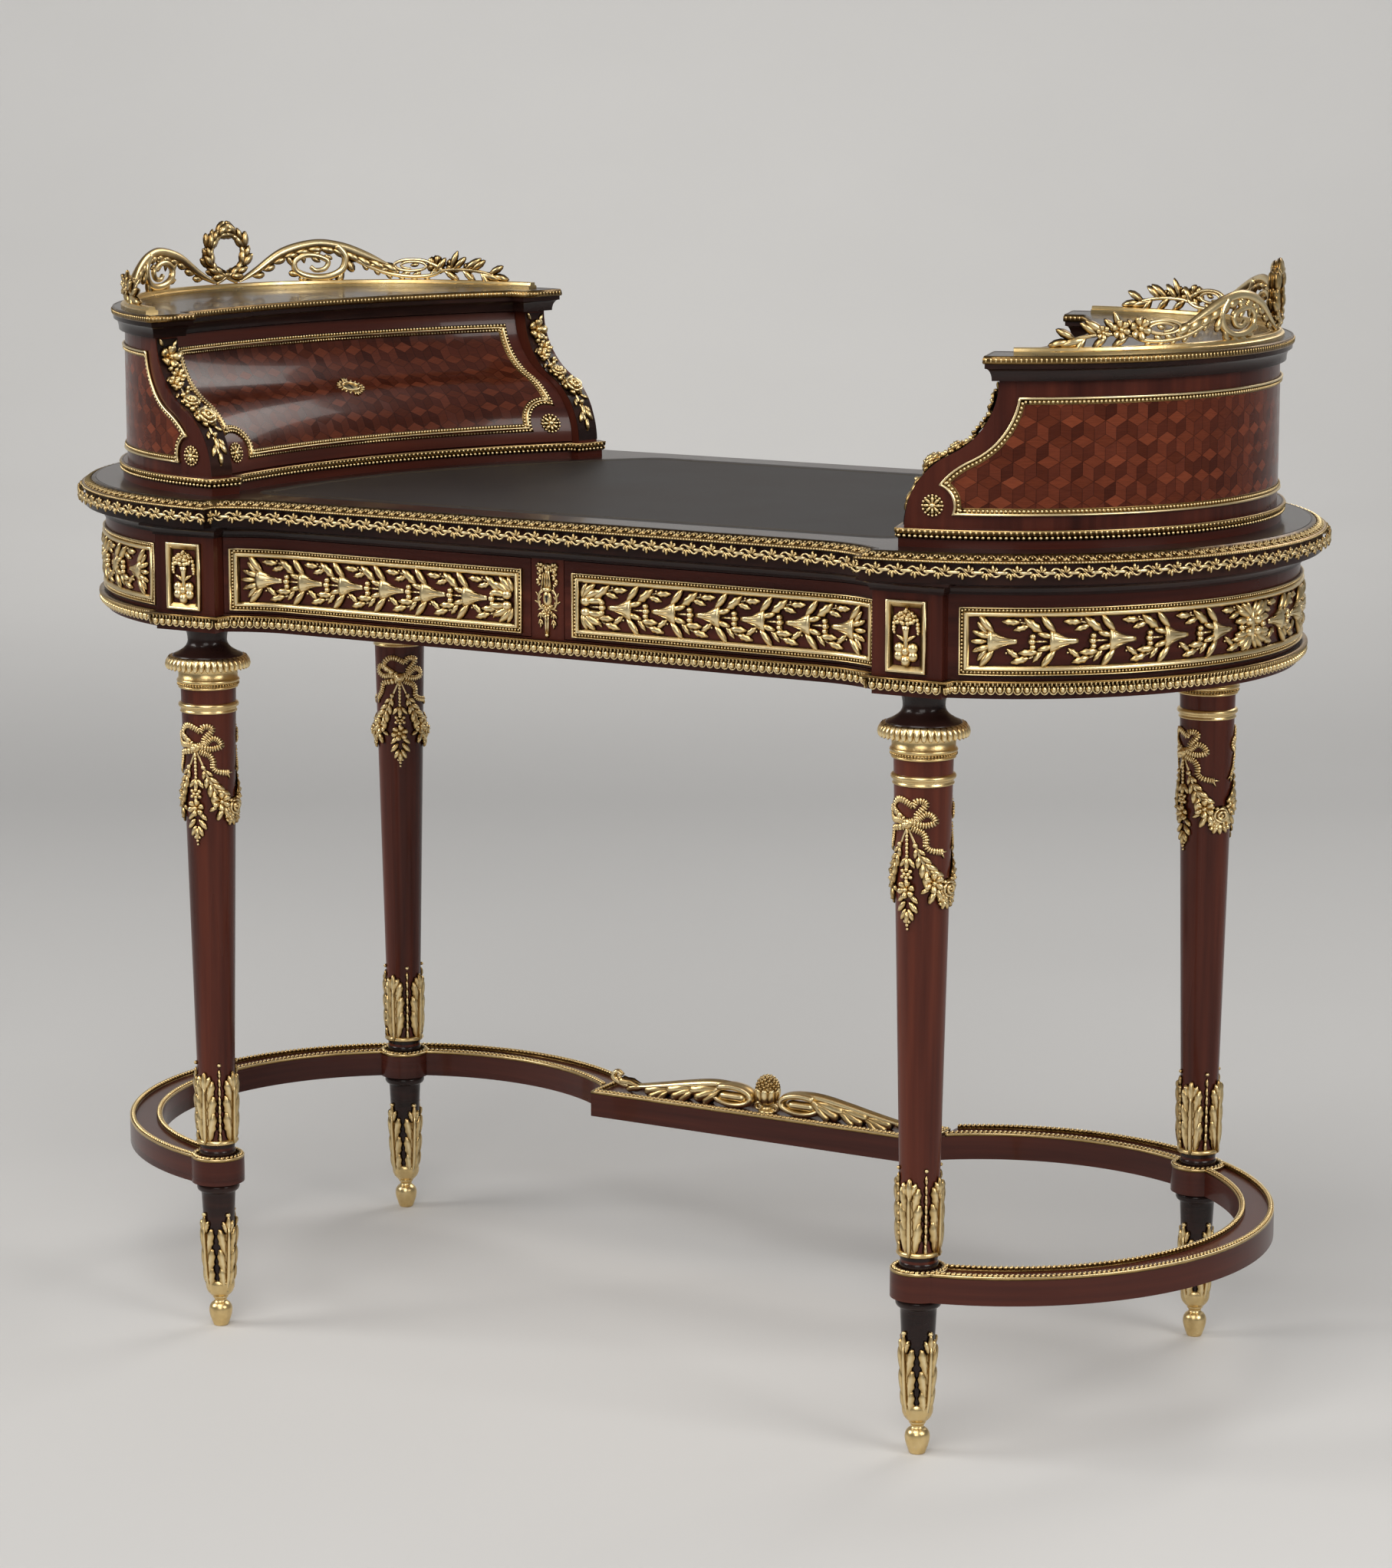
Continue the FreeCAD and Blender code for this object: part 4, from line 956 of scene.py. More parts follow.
def vine_band():
    """Ivy along the edge of the board: rods end to end, a tendril that crosses them in waves, and
    three-lobed leaves above and below where two rods meet. It starts anew at each corner, and a run too
    short for a rod has leaves alone."""
    wave = 19.0
    middle = (vine_low + vine_top) / 2
    blade = leaf(6.2, 4.2, 2.0, 3, 3, 0.5)
    ivy = put(blade, 0, 0, [90, 36, 144], [1, 0.85, 0.85])
    x = np.linspace(-wave / 2, wave / 2, 13)
    tendril = np.column_stack([x, 3.4 * np.sin(TAU * x / wave), 0 * x + 1.0])
    rod = put(straight(10, [1.0, 1.5, 1.5, 1.5, 1.0], 6), -5, 0, 0, 1, 1.8)
    unit = join([rod, tube(tendril, 0.85, 5), put(ivy, [-7, 7], [0.2, -0.2], [0, 180], 1, 1.2),
                 put(knob(1.2, 1.2, 2.9, 2, 5), [-4.2, 4.2], [3.4, -3.4])])
    cluster = put(ivy, [0, 0], [0.2, -0.2], [0, 180], 1, 1.2)
    vines = []
    for run in runs_between_corners(desk_plan(edge_out + 4)):
        part = unit if np.linalg.norm(run[-1] - run[0]) > 0.8 * wave else cluster
        vines.append(copies(part, upright(*along(run, wave, False), middle)))
    piece("gilt_vine", vines, gilt, stands_for=["vine_band"])


def leather_edge():
    """The line of the leather's edge, anticlockwise: arcs about the axes of the hollow fronts between two
    straight sides, its corners softened by a running mean."""
    count, soft = 360, 5
    axis = np.array([lobe_x - face_axis * math.cos(cabinet_turn), -face_axis * math.sin(cabinet_turn)])
    reach = face_r - leather_gap
    front, rear = leather_margin - front_face, frieze_r - leather_margin
    y = np.linspace(front, rear, 80)
    right = np.column_stack([axis[0] + np.sqrt(reach ** 2 - (y - axis[1]) ** 2), y])
    x = np.linspace(-1, 1, 60)[1:-1]
    edge = np.vstack([right, np.column_stack([-x * right[-1, 0], 0 * x + rear]), right[::-1] * (-1, 1),
                      np.column_stack([x * right[0, 0], 0 * x + front])])
    around = np.linalg.norm(np.diff(np.vstack([edge, edge[:1]]), axis=0), axis=1).sum()
    even = along(edge, around / count)[0]
    return sum(np.roll(even, k, 0) for k in range(-soft, soft + 1)) / (2 * soft + 1)


def leather_tooling():
    """Two fine lines run round the leather inside its edge."""
    profile = [(0, -0.1), (0, 0.12), (0.9, 0.12), (0.9, -0.1)]
    lines = [hoop(inset(leather_edge(), depth), profile) for depth in (9.0, 13.0)]
    top = span("leather_panel")[1]
    piece("leather_tooling", [moved(line, 0, 0, top) for line in lines], tooled)


# Frieze

def dark_cavetto():
    """The dark hollow moulding under the top."""
    low, high = moulding_low, moulding_top
    a = np.linspace(0, np.pi / 2, 7)
    profile = [(0, low), (1.6, low), (1.6, low + 1.8)]
    profile += [(2.2 + 6 * (1 - math.cos(k)), low + 2.2 + 5.4 * math.sin(k)) for k in a]
    profile += [(10, high - 2), (10, high), (0, high)]
    piece("dark_cavetto", [band(stepped_plan, profile)], dark_mahogany,
          stands_for=["frieze_moulding"], crease=40)


def egg_band():
    """Egg and dart along the foot of the frieze, each egg in a rim, under a row of small leaf tips."""
    low = egg_low
    base = [(0, low + 0.8), (0.8, low + 1), (1.4, low + 2.4), (2.2, low + 5), (3.2, low + 7),
            (5.4, low + 9), (7.2, low + 9.6), (7.4, egg_top), (0, egg_top)]
    rim = np.linspace(-0.35, np.pi + 0.35, 9)
    cup = np.column_stack([3.4 * np.cos(rim), -4.4 * np.sin(rim) + 0.4, 0 * rim + 1.6])
    unit = join([knob(2.5, 3.5, 4.9, 3, 8), tube(cup, 0.6, 5),
                 put(leaf(7.4, 1.7, 2.8, 3, 3, 0.3), 3.55, 4.4, -90),
                 put(leaf(4.4, 3.2, 2.3, 2, 3, 0.4), [-1.8, 1.8], 6.4, -90, 1, 2.8)])
    eggs = copies(unit, upright(*along(stepped_plan(2.6), 7.1), low + 4.3))
    piece("gilt_egg_band", [band(stepped_plan, base, 0.35), eggs], gilt, stands_for=["egg_and_dart_band"])


panel_profile = [(0, -0.3), (0, 2.6), (0.5, 3.1), (1.0, 2.6), (1.1, 0.5), (3.9, 0.5), (4.1, 2.9),
                 (4.8, 3.5), (5.8, 3.3), (7.4, 2.0), (8.2, 1.1), (8.2, -0.3)]
block_profile = [(0, -0.3), (0, 3.0), (0.7, 3.7), (1.8, 3.6), (2.4, 2.9), (5.5, 1.1), (6, 0.9), (6, -0.3)]
frame_w = 8.2


def panel_frame(left, right):
    """A long gilt panel frame: fillet, bead row in a hollow and inner bevel."""
    line = rectangle(left, right, panel_low, panel_top)
    return join([hoop(line, panel_profile), beading(line, 2.5, 3.0, 1.28, 0.8)])


def husk():
    """The bell of a husk, its tip at s zero, that opens along s into petals."""
    bell = put(straight(23, [2.0, 2.3, 2.9, 3.8, 5.2, 7.2, 9.0, 9.6], 12, 0.48), 0, 0, 0, 1, 0.8)
    ribs = put(leaf(20, 3.4, 4.4, 5, 3, 0.75), 4, [0, 1.6, -1.6], [0, 12, -12], 1, [1.2, 0.8, 0.8])
    great = put(leaf(19, 7.8, 4.2, 6, 5, 0.5, bend=1.4), 18, 6.6, 46, 1, 0.8)
    second = put(leaf(14, 6.4, 3.8, 5, 5, 0.5), 20, 3.4, 15, 1, 1.4)
    return join([bell, ribs, mirror(join([great, second]), 1)])


def husk_sprays():
    """What follows a husk in the chain: a laurel spray above, another below and a three-lobed bud on the
    line."""
    blade = leaf(16, 8.2, 3.4, 9, 5, 0.47, teeth=3)
    stems = [tube(curve([(25, 3), (33.5, 10.6), (40, 14), (47, 15.6)], 12), 0.9, 5),
             tube(curve([(25, -3), (31, -8), (38.5, -13.4), (47.5, -13.6)], 12), 0.9, 5)]
    upper = put(blade, [28.6, 39.1, 46.4], [6.7, 12.7, 15.3], [39, -16, 3], [1.25, 0.86, 0.95], 0.5)
    lower = put(blade, [31.9, 39.1, 47.2, 28.6], [-8.4, -13.1, -13.6, -7], [-3, -15, 38, -51],
                [1.05, 1.0, 0.84, 0.8], 0.5)
    bud = [put(straight(9, [1.0, 1.0, 1.0], 5), 25, 0, 0, 1, 1.0),
           put(knob(3.3, 2.7, 4.4, 3, 8), 36.6, [4.2, -4.2]), put(knob(3.9, 3.1, 5.0, 3, 8), 37.2, 0)]
    pearls = put(knob(1.3, 1.3, 2.4, 2, 6), [46.8, 57.5], [17.4, -9.2])
    return join(stems + bud + [upper, lower, pearls])


def curled_leaves():
    """Fat curled leaves that fill the inner end of a chain, above and below two bosses on its line."""
    lobe = leaf(20, 9.0, 4.6, 6, 5, 0.58, bend=-5.5)
    fans = put(lobe, [1.5, 2.5, 3.5, 5.5], [6, 6, 5, 3], [86, 64, 44, 24], [0.72, 0.88, 0.96, 0.9],
               [0.2, 0.6, 1.0, 1.4])
    return mirror(join([fans, put(knob(5.4, 4.6, 5.2, 3, 10), 6, 4.6, 0, 1, 1.0)]), 1)


def husk_chain(length, count):
    """A chain along s from its inner end: curled leaves, husks evenly set with sprays before each, and a
    closing fan."""
    tips = np.linspace(27, length - 38, count)
    fan = put(leaf(15, 6.2, 3.0, 4, 5, 0.5), 23, [0, 2.5, -2.5, 5, -5], [0, 26, -26, 52, -52], 0.95,
              [1.4, 1, 1, 0.6, 0.6])
    return join([curled_leaves(), put(husk(), tips, 0),
                 put(husk_sprays(), tips + tips[0] - tips[1], 0), put(fan, tips[-1:], 0)])


def drawer_mounts():
    """Gilt frames and husk chains on the two frieze drawers, running outwards from the centre stile."""
    left, right = span("desk_drawer_frame_right", 0)
    chain = husk_chain(right - left - 2 * frame_w, 6)
    points, quads = join([panel_frame(left, right), moved(chain, left + frame_w, panel_middle)])
    for side, word in sides:
        flat = (points * (side, 1, 1, 1), quads)
        piece("gilt_drawer_mounts_" + word, [wrap(flat, on_front)], gilt, body="desk_drawer_" + word,
              stands_for=["desk_drawer_frame_" + word])


def double_panel(reach, count):
    """A frame about s zero with two chains that meet in its middle at an upright bar."""
    bar = put(straight(26, [1.6, 2.2, 2.4, 2.2, 1.6], 8), 0, -13, 90, 1, 1.6)
    chains = join([mirror(husk_chain(reach - frame_w, count)), bar])
    return join([panel_frame(-reach, reach), moved(chains, 0, panel_middle)])


def panel_mounts():
    """Frames and chains on the round ends and the back."""
    start = block_turn + panel_gap
    end = back_leg_turn - half_block - panel_gap
    lobe = moved(double_panel((end - start) / 2 * frieze_r, 5), (start + end) / 2 * frieze_r, 0)
    shapes = [wrap(lobe, on_lobe(side)) for side in (-1, 1)]
    past = math.pi / 2 - back_leg_turn - half_block - panel_gap
    shapes.append(wrap(double_panel(lobe_x + past * frieze_r, 8), on_back))
    piece("gilt_panel_mounts", shapes, gilt, stands_for=["frieze_panel_frames"])


def bouquet():
    """A tied spray: a dome of berries and blossoms that droop at its ends, over a trumpet stem with two
    curled leaves and fat rounded lobes below."""
    outer, inner = np.linspace(0.1, np.pi - 0.1, 10), np.linspace(0.3, np.pi - 0.3, 6)
    berry = knob(2.3, 2.3, 3.8, 3, 7)
    dome = join([put(berry, 10.6 * np.cos(outer), 9.5 + 10.6 * np.sin(outer)),
                 put(berry, 6.6 * np.cos(inner), 10 + 6.4 * np.sin(inner), 0, 1, 0.9),
                 put(berry, [-2.2, 2.2, 0], [11, 11, 21.8], 0, [1.1, 1.1, 0.8], [1.2, 1.2, 0]),
                 put(flower(4.8, 5, 4), [-5, 5.2, 0], [14.4, 15, 17.4], [0, 30, 60], 1, 2.4)])
    tassel = mirror(put(berry, [10.6, 11, 10.6], [7.4, 5.0, 2.8], 0, [1.0, 0.85, 0.66]))
    stem = put(straight(21, [2.1, 2.0, 2.0, 2.3, 3.0, 4.2], 8, 0.9), 0, -12.5, 90, 1, 1.2)
    curls = mirror(put(leaf(9.4, 4.4, 3.0, 4, 5, 0.5, bend=-3.6), 1, -4.5, 58, 1, 1.0))
    lobes = mirror(put(knob(5.2, 5.4, 5.0, 3, 12), [6.0, 6.2], [-9.4, -15.6], 0, [1, 0.95]))
    foot = put(knob(4.8, 5.4, 5.6, 3, 12), 0, [-19.4, -12], 0, [1, 0.75], [0.2, 1.0])
    return join([dome, tassel, stem, curls, lobes, foot])


def block_mounts():
    """Plain bevelled frames with a bouquet on the corner blocks and over the back legs."""
    half = 18.0
    frame_line = hoop(rectangle(-half, half, block_low, block_top, 12), block_profile)
    flat = join([frame_line, moved(bouquet(), 0, block_middle)])
    shapes = []
    for side in (-1, 1):
        shapes.append(wrap(flat, on_block(side)))
        shapes.append(wrap(moved(flat, back_leg_turn * frieze_r, 0), on_lobe(side)))
    piece("gilt_block_mounts", shapes, gilt, stands_for=["block_frames"])


def ribbon(knots, wide=2.5, pleats=12):
    """A pleated ribbon on a smooth line: a flat band that rises and widens at every fold."""
    count = pleats * 6 + 1
    path = curve(knots, count)
    ahead = unit_ways(np.gradient(path, axis=0))
    fold = np.abs(np.cos(np.pi * pleats * np.linspace(0, 1, count)))[:, None] ** 0.6
    across = np.array([-1, -1, 0, 1, 1, 0])[None, :] * wide * (0.85 + 0.15 * fold)
    rise = np.array([0, 0.8, 1, 0.8, 0, -0.2])[None, :] * (0.7 + 1.7 * fold)
    # Painted highlight on each fold, painted shade between the folds and at the band's edges
    relief_shade = np.array([0.2, 0.8, 1, 0.8, 0.2, 0])[None, :] * (0.1 + 0.9 * fold)
    return capped(lay(path[:, :1] - ahead[:, 1:2] * across, path[:, 1:2] + ahead[:, :1] * across,
                      path[:, 2:] + rise, relief_shade))


def keyhole(size):
    """A keyhole's shadow: a round over a tapering slot."""
    slot = put(leaf(7 * size, 2.6 * size, 0.5, 4, 3, 0.5), 0, 0, -90)
    return join([knob(1.9 * size, 1.9 * size, 0.5, 2, 10), slot])


def stile_mount():
    """The keyhole mount between the drawers: a button with ribbons, a fluted shaft, a plate in a wreath,
    crossed stems, leaf tassels and two rods that end in a knob."""
    top = mirror(join([ribbon([(3, 29), (7, 31), (9.4, 29.4), (7.5, 26.5), (4, 27)], 1.6, 6),
                       ribbon([(4, 26), (8.4, 23.4), (6, 20), (9.4, 16.5), (7, 13)], 1.7, 7)]))
    button = put(join([knob(3.7, 3.7, 3.0, 2, 14), knob(2.3, 2.3, 4.6, 3, 12)]), 0, 28.4)
    shaft = put(straight(15, [3.0, 3.3, 3.7, 4.2, 4.8], 10, 0.5), 0, 26, -90)
    flutes = put(leaf(15, 2.0, 3.6, 4, 3, 0.6), [-2.6, -0.9, 0.9, 2.6], 25.4, [-97, -92, -88, -83], 1, 0.8)
    plate_part = join([put(knob(5.4, 2.6, 4.4, 3, 12), 0, 9.6), put(knob(4.8, 7.4, 2.2, 3, 16), 0, 1.6)])
    wreath_side = sprig([(1, -7.4), (7, -6), (9, 0.6), (7.4, 6.6), (3, 10)], 9, 5.2, 0.7, 1.2)
    stems = ribbon([(-5, -4), (0, -7.4), (6, -11.5)], 1.5, 6)
    blade = leaf(7, 3.6, 2.6, 3, 3, 0.5)
    tassel = put(blade, 6.4, [-10, -10, -10, -15.5, -15.5, -18], [-90, -58, -122, -66, -114, -90], 0.9)
    rods = tube([(1.2, -7, 1.4), (1.2, -18, 1.4), (0.9, -29, 1.2)], 1.1, 6)
    low = join([mirror(join([wreath_side, stems, tassel, rods])), put(knob(2.2, 2.2, 3.2), 0, -29.6),
                put(flower(4.0, 6, 3), 0, -10.5, 0, 1, 1.6)])
    middle = (mount_low + mount_top) / 2
    flat = moved(join([top, button, shaft, flutes, plate_part, low]), 0, middle)
    piece("gilt_stile_mount", [wrap(flat, on_front)], gilt, stands_for=["stile_mount"])
    hole = put(keyhole(0.75), 0, middle + 3.4, 0, 1, 2.2)
    piece("stile_keyhole", [wrap(hole, on_front)], shadow)


# Legs

back_leg_x = lobe_x + leg_circle * math.cos(back_leg_turn)
back_leg_y = leg_circle * math.sin(back_leg_turn)
# Each leg's name and place, and the bearing of its first bow
legs = (("front_left", -leg_x, -leg_circle, math.radians(-85)),
        ("front_right", leg_x, -leg_circle, math.radians(-95)),
        ("back_left", -back_leg_x, back_leg_y, math.radians(-57)),
        ("back_right", back_leg_x, back_leg_y, math.radians(-123)))
leg_places = [(x, y) for word, x, y, turn in legs]
shaft_low, shaft_high = 172.0, 588.0


def at_legs(shape):
    """A shape about the upright axis, carried to each of the four legs."""
    return [moved(shape, x, y) for x, y in leg_places]


def shaft_radius(z):
    """The leg's taper."""
    return np.interp(z, [shaft_low, shaft_high], [15.5, 24.5])


def toe_radius(z):
    """The lower turning's taper, narrowing to the foot."""
    return np.interp(z, [28, 36, 45, 60, 127], [6.5, 9.0, 11.0, 12.2, 15.4])


def torus_profile(radius, low, high, count=9):
    """The bulging half of a ring moulding: half an oval that stands out 0.8 of its half height."""
    a = np.linspace(-np.pi / 2, np.pi / 2, count)
    swell = (high - low) / 2
    return [(radius - 0.8 * swell * (1 - math.cos(k)), low + swell * (1 + math.sin(k))) for k in a]


def turned_legs():
    """Four turned shafts, their dark base and neck, and the dark turnings below the stretcher."""
    z = np.linspace(stretcher_top - 0.5, 617, 50)
    shaft = turned(np.column_stack([shaft_radius(z), z]), 64)
    foot = torus_profile(16.4, stretcher_top, 168) + [(15.8, 168.5), (15.8, 172), (15, 172)]
    neck = [(30, 615.4), (31.4, 616.6), (31, 618), (29.4, 618.8), (26.5, 620), (23.6, 621.8), (21, 623.6),
            (19.2, 625.6), (17.9, 628), (17.4, 630.5), (17.6, 634), (18.4, 638), (19.6, 641), (20.2, 642)]
    toe = [(toe_radius(k), k) for k in np.linspace(28, 126, 24)] + torus_profile(19.3, 127, 135.5)
    dark = join([turned(profile) for profile in (foot, neck, toe)])
    for word, x, y, turn in legs:
        piece("leg_shaft_" + word, [moved(shaft, x, y)], mahogany_upright,
              stands_for=["leg_" + word], crease=50)
    piece("dark_leg_turnings", at_legs(dark), dark_mahogany,
          stands_for=["lower_leg_turnings"], crease=50)


def leg_capitals():
    """Capitals: a pearl row, a plain collar and a rim of drooping leaves, with a plain ring lower down."""
    collar = turned([(24, 588.5), (26.3, 588.5), (26.6, 589.4), (26.3, 590.3), (25.2, 590.6), (25.2, 593),
                     (27.2, 593.4), (28, 595), (27.2, 596.6), (26.2, 597), (26.2, 605), (27.4, 608),
                     (28.4, 612), (24, 615)])
    ring = turned([(23, 566.8), (25.2, 567), (25.4, 568), (24.6, 568.8), (24.4, 570.4), (25.4, 571)]
                  + torus_profile(26.8, 571, 575.4) + [(24, 576)])
    pearls = put(knob(1.35, 1.35, 1.35, 4, 6, True), *circle(26.5, 60).T, 0, 1, 591.9)
    rim = [(28, 616.4, 0), (32.5, 617.2, 0), (35.2, 615.8, 0.25), (37.2, 612.8, 0.6), (37.9, 609.4, 0.9),
           (37.2, 606.8, 1), (36, 605.4, 1), (35.2, 606.4, 1), (35.4, 609.5, 0.9), (34, 613, 0.5),
           (30, 614.5, 0), (28, 615.4, 0)]
    whole = join([collar, ring, pearls, leaf_ring(40, rim, 2.6, 3.6)])
    piece("gilt_capitals", at_legs(whole), gilt, stands_for=["leg_capitals"])


def bow():
    """A bow about its knot: a crown of ribbon above, a loop and a long tail to each side."""
    crown = [(-3, 3), (-14, 10), (-14.2, 14.7), (-9.4, 19), (-4, 19.2), (1.5, 16.7), (5, 15.1), (7.5, 18.7),
             (12.4, 18.9), (14.9, 16.3), (12, 12.2), (8.5, 8.1), (7.2, 3.3), (3, 2)]
    left_loop = [(-3, 1), (-9, 2), (-16, 1.5), (-22, 6), (-19, 11), (-12.5, 9), (-6.7, 5)]
    right_loop = [(4, 1), (11, -0.6), (17, -0.6), (22.4, 1.6), (20, 6.5), (15, 8.5), (11, 5.5), (8, 3)]
    left_tail = [(-3, -3), (-11, -4.5), (-16, -6), (-17.5, -11), (-19, -15), (-22, -19), (-23, -21)]
    right_tail = [(4, -3.5), (9, -5.5), (12.4, -7), (15.2, -12), (15.4, -18), (19, -21.5), (25, -23),
                  (29, -23.6)]
    fork = leaf(7, 2.8, 2.2, 3, 3, 0.4)
    tips = put(fork, [28, 28, -22.6, -22.6], [-23.4, -23.4, -20, -20], [-4, -62, -100, -150], 1, 0.4)
    return join([ribbon(crown, 2.6, 34), ribbon(left_loop, 2.6, 21), ribbon(right_loop, 2.6, 21),
                 ribbon(left_tail, 2.6, 13), ribbon(right_tail, 2.6, 18), tips, knob(5.0, 5.0, 4.8, 3, 14),
                 knob(3.3, 3.3, 7.2, 3, 12)])


def flower_tail():
    """What hangs from a knot: a beaded cord, leaves, berries, a flower, more leaves and a bud."""
    blade = leaf(12.4, 6.2, 3.3, 4, 5, 0.5, lift=1.2)
    cord = put(straight(24, [1.0] * 5, 6), 0, -3, -90, 1, 1)
    beads = put(knob(1.8, 2.2, 3.0, 2, 6), 0, np.linspace(-7, -27, 7))
    leaves = put(blade, [1, -1, 0, 1.5, -1.5, 1.5, -1.5, 1, -1, 0],
                 [-28, -28, -28, -58, -58, -64, -64, -70, -70, -72],
                 [-56, -124, -90, -44, -136, -52, -128, -66, -114, -90],
                 [0.85, 0.85, 0.9, 0.9, 0.9, 1.0, 1.0, 0.9, 0.9, 0.9],
                 [0, 0, 0.6, 0, 0, 0.3, 0.3, 0.6, 0.6, 0.9])
    berries = put(knob(2.1, 2.1, 3.8, 2, 7), [-3.4, 0, 3.4, -1.7, 1.7, -3.6, 3.6, 0, 0],
                  [-39, -38, -39, -41.6, -41.6, -44, -44, -44.6, -47.5], 0, 1, 0.6)
    bud = put(knob(2.0, 2.0, 3.6, 2, 6), [0, -1.9, 1.9, 0, 0], [-79, -81, -81, -84, -87.4], 0,
              [1, 0.9, 0.9, 0.9, 0.7])
    return join([cord, beads, leaves, berries, bud, put(flower(7.6, 6, 5.2), -0.5, -54.4, 0, 1, 1.0)])


def garland_half(middle):
    """Half a garland from a knot to the middle of the way to the next one: a cord with a ball, leaves in
    pairs, a flower among berries, and the leaves about the middle rose."""
    blade = leaf(13, 6.6, 3.4, 4, 5, 0.5, lift=1.2)
    line = curve([(0, -2), (7, -18), (11, -28), (17, -39), (23, -50), (middle, -58)], 30)
    pairs = put(blade, [7.6, 8.4, 10, 11, 13, 14, 16.4, 17.6], [-20, -20, -26, -26, -32, -32, -38, -38],
                [-96, -40, -96, -36, -94, -32, -98, -24],
                [0.66, 0.66, 0.84, 0.84, 1.0, 1.0, 1.08, 1.08], 0.6)
    low = put(blade, [25, 24, 27, 20, 31, middle - 2, middle - 1], [-53, -54, -55, -52, -58, -60, -62],
              [-72, -118, -40, -150, -80, -112, -84], [1.05, 1.05, 0.9, 0.8, 0.8, 0.95, 0.8], 0.4)
    berries = put(knob(2.1, 2.1, 3.8, 2, 6), [15.6, 17, 27, 28.6, 26.4], [-47.5, -51, -44.6, -47.6, -62],
                  0, 1, 0.4)
    return join([tube(line, np.linspace(0.9, 2.4, 30), 6), put(knob(2.6, 2.6, 3.8, 2, 8), 7, -17.6), pairs,
                 low, berries, put(flower(8.2, 6, 5.6), 21.6, -48.5, 12, 1, 1.0),
                 put(flower(5, 5, 4.4), 29.6, -63.4, 0, 1, 1.0)])


def leg_swags():
    """Two bows to a leg, each with its flower tail, and garlands from bow to bow with a rose midway."""
    girth, knot_z = 22.8, 537.0
    middle = TAU / 4 * girth
    bloom = put(rose(8.8, 6.8), middle, -54.6, 0, 1, 0.6)
    half = join([bow(), flower_tail(), mirror(garland_half(middle)), bloom])
    ring = put(half, np.array([0, 2]) * middle, knot_z)
    shapes = [wrap(ring, on_leg(x, y, turn, shaft_radius, girth)) for word, x, y, turn in legs]
    piece("gilt_swags", shapes, gilt)


def leaf_collars():
    """Four broad carved leaves round the foot of each shaft, with husks climbing between them."""
    girth = 17.0
    step = TAU / 4 * girth * np.arange(4)
    tiers = [(0, 31, 8, 11.4), (18, 28, 10, 11), (36, 24, 11, 9.6), (51, 13, 16, 6)]
    great = lobed(tiers, (46, 21, 10), 4.2)
    heart = leaf(64, 19, 3.0, 10, 5, 0.3)
    bud = leaf(12, 5.4, 3.4, 4, 3, 0.4)
    climbing = join([put(bud, np.linspace(0, 60, 8), 0, 0, [1, 1, 1, 0.95, 0.9, 0.85, 0.8, 0.76], 0.4),
                     put(knob(2.0, 2.0, 3.0, 2, 8), 72.5, 0)])
    flat = join([put(great, step, shaft_low + 1, 90, 1, 0.6), put(heart, step, shaft_low + 1, 90),
                 put(climbing, step + TAU / 8 * girth, shaft_low + 2, 90)])
    foot = turned([(15, 172), (18.2, 172), (19.2, 173.4), (18.4, 175.4), (17, 176.4), (15.4, 176.4)], 40)
    collars = [wrap(flat, on_leg(x, y, -TAU / 4, shaft_radius, girth)) for x, y in leg_places]
    piece("gilt_leaf_collars", collars + at_legs(foot), gilt, stands_for=["leaf_collars"])


def leaf_sabots():
    """Leaf shoes on the lower turnings: four carved leaves from a plain cup, and a turned gilt foot."""
    girth, first = 13.0, math.radians(-112)
    step = TAU / 4 * girth * np.arange(4)
    tiers = [(0, 24, 7, 10), (14, 28, 8, 10), (34, 27, 9, 9), (55, 13, 12, 5)]
    great = lobed(tiers, (57, 16, 6), 3.6)
    heart = leaf(66, 17, 2.8, 10, 5, 0.34)
    flat = join([put(great, step, 33, 90, 1, 0.6), put(heart, step, 31, 90),
                 put(knob(2.3, 2.3, 3.4, 3, 8), step, 106)])
    cup = turned([(5, 27), (6.2, 27), (7.0, 27.6), (9.2, 29.4), (11.4, 32), (12.8, 35.4), (13.2, 39),
                  (12.8, 42), (11.4, 44)], 40)
    knots = [(6.2, 0), (6.9, 0.9), (8.2, 4.4), (9.6, 8.6), (10.4, 12.4), (10.5, 15.4), (9.9, 18.2),
             (8.4, 20.6), (6.5, 22.2), (5.6, 23.4), (5.6, 24.6), (6.6, 25.8), (7.2, 27), (7.0, 28)]
    foot = turned(curve(knots, 40)[:, :2], 40)
    shoes = [wrap(flat, on_leg(x, y, first, toe_radius, girth)) for x, y in leg_places]
    piece("gilt_leaf_sabots", shoes + at_legs(cup), gilt, stands_for=["leaf_sabots"])
    piece("gilt_feet", at_legs(foot), plain_gilt, stands_for=["ball_feet"])


# Stretcher

rope_profile = [(0, -0.2), (0, 2.4), (0.5, 2.9), (1.1, 2.4), (1.2, 0.7), (5, 0.7), (5, -0.2)]


def stretcher_arcs():
    """The edges of the bent stretchers: arcs about the round ends' axes, less what lies in a boss or the
    bar. Each runs so that the stretcher's top lies to its left."""
    tuck = 2.0
    a = np.radians(np.linspace(-82, 128, 260))
    arcs = []
    for side in (-1, 1):
        for way in (-1, 1):
            arc = (rays(stretcher_r + way * stretcher_half, a) + (lobe_x, 0)) * (side, 1)
            clear = [np.hypot(*(arc - place).T) > boss_r - tuck for place in leg_places]
            kept = np.flatnonzero(np.all(clear, axis=0) & (np.abs(arc[:, 0]) > bar_reach - tuck / 2))
            runs = np.split(kept, np.flatnonzero(np.diff(kept) > 1) + 1)
            arcs += [arc[run][::side * way] for run in runs]
    return arcs


